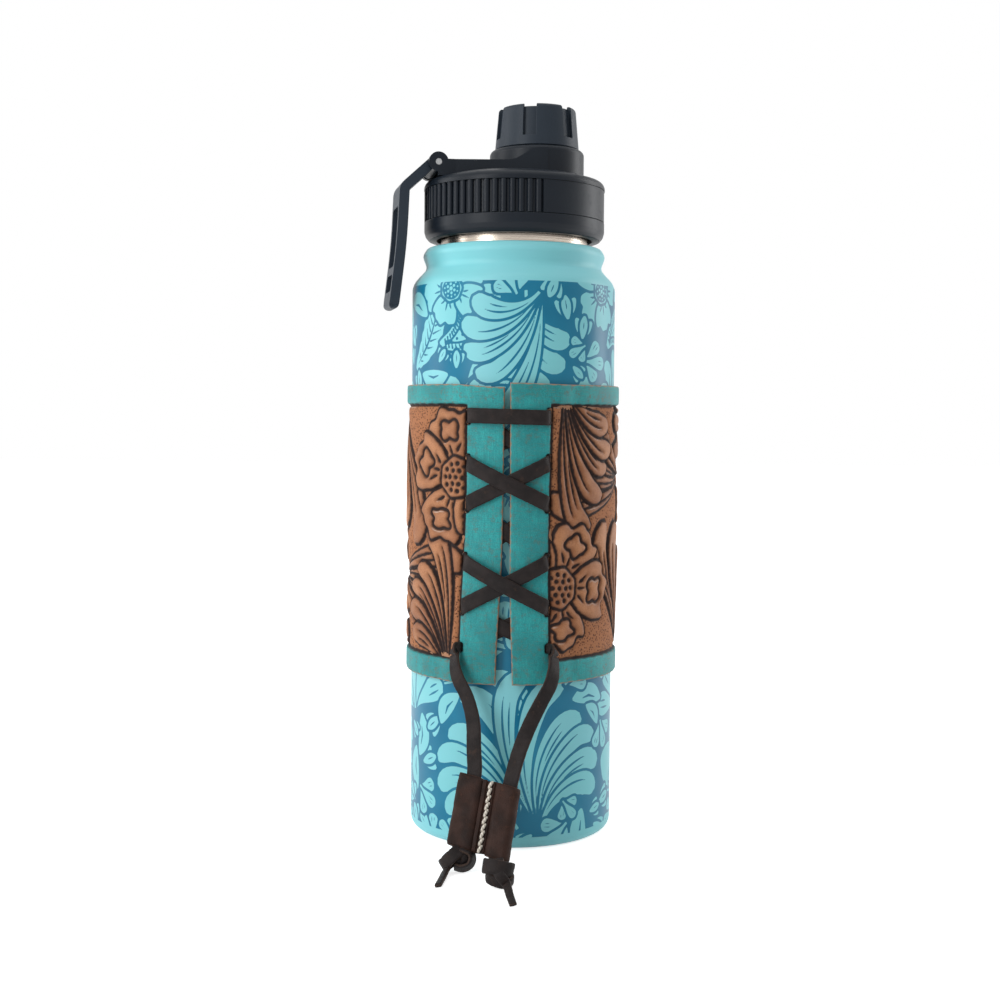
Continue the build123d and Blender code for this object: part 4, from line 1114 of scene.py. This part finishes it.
def makeSlider():
    count, levels, half = slider["around"], slider["levels"], slider["length"] / 2
    up = np.linspace(-half, half, levels)
    inner = flatRing(slider["holeWidth"], slider["holeDepth"], count)
    meshes = []
    for way in (-1, 1):
        left = way < 0
        outer = flatRing(slider["tubeWidth"] + slider["leftWider"] * left, slider["tubeDepth"], count)
        outer = outer + (slider["leftShift"] * left, 0)
        worn = 1 + 0.025 * np.sin(up * 0.5 + way) + 0.012 * np.sin(up * 1.9 + 2 * way)
        size = np.minimum(worn, 1) * (1 - slider["endRound"] * np.maximum(np.abs(up) - half + 1, 0) ** 2)
        # up the outside and back down the hole
        rings = np.concatenate([outer * size[:, None, None], np.tile(inner, (levels, 1, 1))])
        points = sliderSpot(way * sliderSpacing / 2 + rings[..., 0], rings[..., 1],
                            np.concatenate([up, up[::-1]])[:, None])
        faces = gridFaces(2 * levels + 1, count, wraps=True) % (2 * levels * count)
        meshes.append(buildMesh("sliderTube", points.reshape(-1, 3), [faces]))
        edge = np.zeros((2 * levels, count))
        edge[[0, levels - 1, levels, -1]] = 1
        storeValues(meshes[-1], "cutEdge", edge)
    heights = np.linspace(0.2 - half, half - 0.2, 30)
    for right, front, sway, *form in seamStrips:
        line = sliderSpot(right + sway * np.sin(heights * 0.7), front, heights)
        meshes.append(stripMesh("seamStrip", line, sliderFront, *form))
    return addPiece("laceSlider", joinMeshes("laceSlider", meshes), "sleeve", materials["slider"],
                    ["lace_slider"])


stitch = {"count": 10, "pitch": 2.35, "offset": 0.8, "length": 3.0, "radius": 0.56, "slant": 21.0,
          "slantChange": 4.0, "lie": 1.62, "arch": 0.42, "taper": 0.55, "ply": 0.06, "plyTurn": 5.0,
          "steps": 15, "around": 12}


def makeStitches():
    steps, around = stitch["steps"], stitch["around"]
    t = np.linspace(-1, 1, steps)
    turn = np.linspace(0, 2 * np.pi, around, endpoint=False)
    # two plies twist round each other
    twist = turn - t[:, None] * stitch["plyTurn"]
    thick = stitch["radius"] * (1 - stitch["taper"] * np.abs(t[:, None]) ** 3)
    rings = polar(thick * (1 + stitch["ply"] * np.cos(2 * twist)), turn)
    meshes = []
    for index in range(stitch["count"]):
        height = (index - (stitch["count"] - 1) / 2) * stitch["pitch"]
        slant = math.radians(stitch["slant"] + stitch["slantChange"] * math.sin(2.1 * index))
        centres = sliderSpot(stitch["offset"] + t * stitch["length"] / 2 * math.sin(slant),
                             stitch["lie"] + stitch["arch"] * np.cos(t * np.pi / 2),
                             height + t * stitch["length"] / 2 * math.cos(slant))
        along = unit(np.gradient(centres, axis=0))
        across = unit(np.cross(along, sliderFront))
        front = np.cross(across, along)
        tube = centres[:, None] + rings[..., :1] * across[:, None] + rings[..., 1:] * front[:, None]
        mesh = buildMesh("stitch", np.vstack([tube.reshape(-1, 3), centres[:1], centres[-1:]]),
                         [gridFaces(steps, around, wraps=True), *endFans(steps, around)])
        storeValues(mesh, "twist", np.concatenate([twist.ravel() / np.pi, [0, 0]]))
        meshes.append(mesh)
    return addPiece("sliderSeam", joinMeshes("sliderSeam", meshes), "sleeve", materials["thread"],
                    ["slider_stitches"])


# Knots: straps wrapped round a core. Spots lie to the right, upwards and towards the viewer of the
# centre; each strap, given by its width, heart and spots, faces away from its heart.
knotAxes = np.array([(1.0, 0.0, 0.0), (0.0, 0.3, 0.954), (0.0, -0.954, 0.3)])
knots = {
    "left": {
        "centre": (-17.6, -60.5, 4.15), "core": (4.0, 2.6, 2.0),
        "straps": (
            (4.4, (1.5, 0.4, -0.7), ((0.2, 3.3, 0.5), (1.9, 3.4, 0.8), (4.2, 2.3, 0.9), (4.9, 0.2, 0.9),
                                     (3.9, -1.9, 0.9), (1.4, -2.8, 0.8), (-0.9, -2.2, 0.5))),
            (2.7, (1.2, 0.2, -2.0), ((0.0, 2.4, 0.8), (1.7, 1.7, 1.7), (2.6, 0.1, 1.7), (2.0, -1.6, 0.8))),
            (4.4, (-1.2, 0.4, -0.4), ((1.6, 3.3, -0.8), (0.8, 3.1, 1.2), (-0.9, 1.8, 2.6),
                                      (-2.8, 0.1, 2.8), (-4.2, -1.4, 1.8), (-4.7, -1.9, -0.2),
                                      (-3.8, -1.4, -1.9), (-1.4, 0.6, -2.6), (1.2, 2.6, -2.2)))),
        "tail": ((-18.8, -60.6, 2.6), (-20.9, -63.5, 1.8), (-22.2, -70.0, 1.0), (-23.2, -76.4, 0.8)),
        "replaces": "left_knot"},
    "right": {
        "centre": (-3.9, -75.3, 4.5), "core": (3.8, 3.4, 2.3),
        "straps": (
            (3.5, (0.0, -1.2, -0.8), ((-3.7, -0.3, -1.0), (-3.3, -1.5, 0.9), (-1.2, -2.6, 1.9),
                                      (1.5, -3.2, 1.6), (3.6, -2.7, 0.5), (4.0, -1.4, -0.9),
                                      (1.6, -0.6, -2.4), (-1.6, -0.2, -2.4))),
            (4.9, (-0.4, 1.8, -0.6), ((-3.7, 2.4, -1.8), (-4.7, 2.3, 0.1), (-3.3, 2.1, 1.9),
                                      (-0.6, 1.7, 2.6), (2.3, 1.2, 2.1), (4.0, 0.8, 0.4), (3.3, 0.8, -1.8),
                                      (0.6, 1.6, -3.0), (-2.4, 2.2, -2.7))),
            (3.3, (0.0, -0.8, -1.5), ((-1.2, 0.9, 2.0), (0.4, -0.9, 2.9), (1.9, -2.6, 2.4),
                                      (2.8, -3.9, 1.0)))),
        "tail": ((-2.4, -76.3, 3.0), (-1.4, -79.3, 2.0), (-0.6, -86.0, 1.1), (0.36, -93.4, 0.8)),
        "replaces": "right_knot"}}
knotForm = {"around": 24, "levels": 15, "steps": 9, "strapThickness": 1.35, "tailWidth": 3.0,
            "tailNarrowing": 0.6, "tailThickness": 1.3, "tailRoll": 0.75, "unroll": 0.5, "floorGap": 0.00005}


def makeKnot(side):
    knot = knots[side]
    centre = np.array(knot["centre"])
    around, levels, steps = knotForm["around"], knotForm["levels"], knotForm["steps"]
    turn = np.linspace(0, 2 * np.pi, around, endpoint=False)
    rise = np.linspace(-np.pi / 2, np.pi / 2, levels)[:, None]
    ball = (ringSpot(np.cos(rise), turn, np.sin(rise)).reshape(-1, 3) * knot["core"]) @ knotAxes + centre
    meshes = [buildMesh("core", ball, [gridFaces(levels, around, wraps=True)])]
    storeValues(meshes[0], "cutEdge", np.zeros(len(ball)))
    for index, (width, heart, spots) in enumerate(knot["straps"]):
        path = smoothCurve(spots, steps)
        ends = ease(np.linspace(0, 1, len(path)), 0.0, 0.15) * 0.25 + 0.75
        meshes.append(stripMesh("strap", centre + path @ knotAxes, unit((path - heart) @ knotAxes),
                                width * ends, knotForm["strapThickness"], 20, 3 * index + 2, 0.04))
    path = smoothCurve(knot["tail"], steps)
    t = np.linspace(0, 1, len(path))
    along = unit(np.gradient(path, axis=0))
    sideways = unit(np.cross(along, (0.0, 0.0, 1.0)))
    roll = (knotForm["tailRoll"] - knotForm["unroll"] * t)[:, None]
    normals = unit(np.cross(sideways, along) * np.cos(roll) + sideways * np.sin(roll))
    meshes.append(stripMesh("tail", path, normals, knotForm["tailWidth"] - knotForm["tailNarrowing"] * t,
                            knotForm["tailThickness"], 18, 8, 0.05))
    mesh = joinMeshes(side + "Knot", meshes)
    # what would sink into the floor is pressed flat on it
    flattened = np.empty(len(mesh.vertices) * 3, np.float32)
    mesh.vertices.foreach_get("co", flattened)
    flattened[2::3] = np.maximum(flattened[2::3], knotForm["floorGap"])
    mesh.vertices.foreach_set("co", flattened)
    return addPiece(side + "EndKnot", mesh, "sleeve", materials["lace"], [knot["replaces"]])


sliderPiece = makeSlider()
seamPiece = makeStitches()
leftKnot = makeKnot("left")
rightKnot = makeKnot("right")
makeFreeEnd("left")
makeFreeEnd("right")
addPiece("slotFolds", joinMeshes("slotFolds", foldParts), "sleeve", materials["lace"])
print("free ends, slider and knots made")

# Screw threads, which the solids leave out; the profile is in shares of the depth and of the width
thread = {"stepsPerTurn": 72, "runOut": 8, "thinnest": 0.06, "sunk": 0.15, "width": 0.62,
          "profile": ((0.0, -0.5), (0.55, -0.32), (1.0, -0.14), (1.0, 0.14), (0.55, 0.32), (0.0, 0.5))}
spoutAxis = (*polar(8.2, math.radians(12)), 0.0)


def makeThreadTurns(name, axis, radius, depth, foot, pitch, turns, body, material):
    steps = int(turns * thread["stepsPerTurn"]) + 1
    t = np.linspace(0, 1, steps)[:, None]
    run = np.clip(np.minimum(t, 1 - t) * turns * thread["runOut"], thread["thinnest"], 1)
    across, along = np.array(thread["profile"]).T
    reach = radius - thread["sunk"] + (depth + thread["sunk"]) * across * run
    points = ringSpot(reach, 2 * np.pi * turns * t,
                      foot + pitch * (turns * t + along * thread["width"])) + np.array(axis)
    count = len(across)
    mesh = buildMesh(name, points.reshape(-1, 3),
                     [gridFaces(steps, count, wraps=True), *endPlates(steps, count)])
    addPiece(name, mesh, body, material)


makeThreadTurns("neckThread", (0, 0, 0), 26.4, 0.85, 216.5, 4.0, 1.7, "bottle", materials["steel"])
makeThreadTurns("spoutThread", spoutAxis, 10.4, 0.5, 247.6, 2.4, 2.0, "lid", materials["liner"])
print("threads made")

# Spout cap: notches of one depth that run out over a low rim
cap = {"flutes": 6, "turn": -102.0, "width": 4.6, "depth": 1.3, "foot": 248.05, "chamfer": 0.13,
       "bottom": 244.65, "bottomRadius": 15.1, "top": 259.2, "topRadius": 13.8, "edge": 1.2,
       "bore": 12.05, "ceiling": 258.0, "ceilingRadius": 11.8, "lip": 0.2, "sink": 0.9, "rim": 12.1,
       "edgeTurn": 11.6, "wallSteps": 9, "edgeSteps": 8, "landSteps": 13, "sharp": 32.0}


def capProfile():
    # radius and height of each level between the notches, then radius and height inside a notch
    bottom, top, foot, chamfer = cap["bottom"], cap["top"], cap["foot"], cap["chamfer"]
    bore, lip, edge, rim = cap["bore"], cap["lip"], cap["edge"], cap["rim"]
    slope = (cap["bottomRadius"] - cap["topRadius"]) / (top - bottom)
    disc = top - cap["sink"]
    rows = [(radius, height, radius, height) for radius, height in (
        (cap["ceilingRadius"], cap["ceiling"]), (bore, cap["ceiling"]), (bore, bottom + lip),
        (bore + lip, bottom), (cap["bottomRadius"] - lip, bottom))]
    wall = [(bottom + lip, 0), (foot - 1, 0), (foot - chamfer, 0), (foot, 0.08), (foot + 0.01, 0.92),
            (foot + chamfer, 1), *((z, 1) for z in np.linspace(foot + 1, top - edge, cap["wallSteps"]))]
    for height, share in wall:
        radius = cap["bottomRadius"] - slope * (height - bottom)
        rows.append((radius, height, radius - cap["depth"] * share, height))
    for a in np.linspace(0, math.pi / 2, cap["edgeSteps"])[1:]:
        height = top - edge * (1 - math.sin(a))
        low = min(height, disc - chamfer)
        rows.append((radius - edge * (1 - math.cos(a)), height,
                     radius - cap["depth"] - slope * (low - top + edge), low))
    ledge = rows[-1][2]
    rows += [(rim + 0.12, top, ledge - 0.03, disc - 0.04), (rim, top - 0.1, ledge - 0.12, disc),
             (rim, disc + 0.06, rim, disc), (rim - 0.1, disc, rim - 0.1, disc)]
    return np.array(rows).T


def makeCap():
    outer, level, inner, low = capProfile()
    half, chamfer = cap["width"] / 2, cap["chamfer"]
    # columns across a notch: how far aside, and what share of its depth
    side = [(half + chamfer, 0), (half, 0.08), (half - 0.01, 0.92), (half - chamfer, 1)]
    across = [(-aside, share) for aside, share in side] + [(-1.2, 1), (0.0, 1), (1.2, 1)] + side[::-1]
    pitch = 360 / cap["flutes"]
    columns = []
    for k in range(cap["flutes"]):
        centre = math.radians(cap["turn"] + pitch * k)
        for aside, share in across:
            radius = outer * (1 - share) + inner * share
            columns.append(ringSpot(radius, centre + np.arcsin(aside / radius),
                                    level * (1 - share) + low * share))
        land = np.linspace(cap["edgeTurn"], pitch - cap["edgeTurn"], cap["landSteps"])
        columns += [ringSpot(outer, centre + a, level) for a in np.radians(land)]
    points = np.stack(columns, axis=1) + np.array(spoutAxis)
    rows, around = points.shape[:2]
    mesh = buildMesh("flutedCap", points.reshape(-1, 3),
                     [gridFaces(rows, around, wraps=True), *endPlates(rows, around)])
    mesh.set_sharp_from_angle(angle=math.radians(cap["sharp"]))
    addPiece("flutedCap", mesh, "cap", materials["cap"], ["spout_cap"])


makeCap()
print("cap made")

# Floor, lamps and surroundings
studio = {"floor": 4.0, "grey": (0.86, 0.86, 0.86, 1.0), "white": (1.0, 1.0, 1.0, 1.0), "ambient": 0.33,
          "glowNear": 0.72, "glowFar": 1.0, "glowStart": 0.16, "glowEnd": 0.6}
# place, the point it faces, size and power of each lamp
lamps = {"leftLamp": ((-0.6, -0.62, 0.46), (0, 0, 0.13), (0.3, 0.9), 4.5),
         "leftEdgeLamp": ((-0.8, 0.05, 0.3), (0, 0, 0.13), (0.3, 0.8), 2.4),
         "rightEdgeLamp": ((0.76, 0.32, 0.3), (0, 0, 0.13), (0.3, 0.8), 3.4),
         "topLamp": ((0.0, -0.15, 0.95), (0, 0, 0.1), (0.8, 0.8), 1.6)}


def seenRays(tree):
    path = tree.nodes.new("ShaderNodeLightPath").outputs
    return calc(tree, "MAXIMUM", path["Is Camera Ray"],
                calc(tree, "MAXIMUM", path["Is Glossy Ray"], path["Is Transmission Ray"]))


def makeFloor():
    half = studio["floor"] / mm
    corners = [(-half, -half, 0), (half, -half, 0), (half, half, 0), (-half, half, 0)]
    mesh = buildMesh("studioFloor", corners, [np.array([[0, 1, 2, 3]])], smooth=False)
    material = bpy.data.materials.new("studio floor")
    material.use_nodes = True
    tree = material.node_tree
    tree.nodes.remove(tree.nodes["Principled BSDF"])
    diffuse = addNode(tree, "ShaderNodeBsdfDiffuse", {"Color": studio["grey"]})
    # the floor brightens away from the bottle, so its far edge meets the white surroundings
    place = tree.nodes.new("ShaderNodeTexCoord").outputs["Object"]
    away = addNode(tree, "ShaderNodeVectorMath", {0: place}, operation="LENGTH").outputs["Value"]
    lift = mapped(tree, away, studio["glowStart"], studio["glowEnd"], studio["glowNear"], studio["glowFar"])
    glow = addNode(tree, "ShaderNodeEmission",
                   {"Color": studio["white"], "Strength": times(tree, seenRays(tree), lift)})
    both = addNode(tree, "ShaderNodeAddShader", {0: diffuse.outputs[0], 1: glow.outputs[0]})
    tree.links.new(both.outputs[0], tree.nodes["Material Output"].inputs["Surface"])
    mesh.materials.append(material)
    floor = bpy.data.objects.new("studioFloor", mesh)
    bpy.context.scene.collection.objects.link(floor)


def makeWorld():
    world = bpy.data.worlds.new("studio")
    bpy.context.scene.world = world
    world.use_nodes = True
    tree = world.node_tree
    background = tree.nodes["Background"].inputs
    background["Color"].default_value = studio["white"]
    tree.links.new(mapped(tree, seenRays(tree), 0, 1, studio["ambient"], 1.0, False), background["Strength"])


def makeLamps():
    for name, (place, target, size, power) in lamps.items():
        data = bpy.data.lights.new(name, "AREA")
        data.shape = "RECTANGLE"
        data.size, data.size_y = size
        data.energy = power
        lamp = bpy.data.objects.new(name, data)
        bpy.context.scene.collection.objects.link(lamp)
        lamp.location = place
        lamp.rotation_euler = (Vector(target) - Vector(place)).to_track_quat("-Z", "Y").to_euler()


makeFloor()
makeWorld()
makeLamps()
bpy.context.scene.view_settings.view_transform = "Standard"
print("studio made")
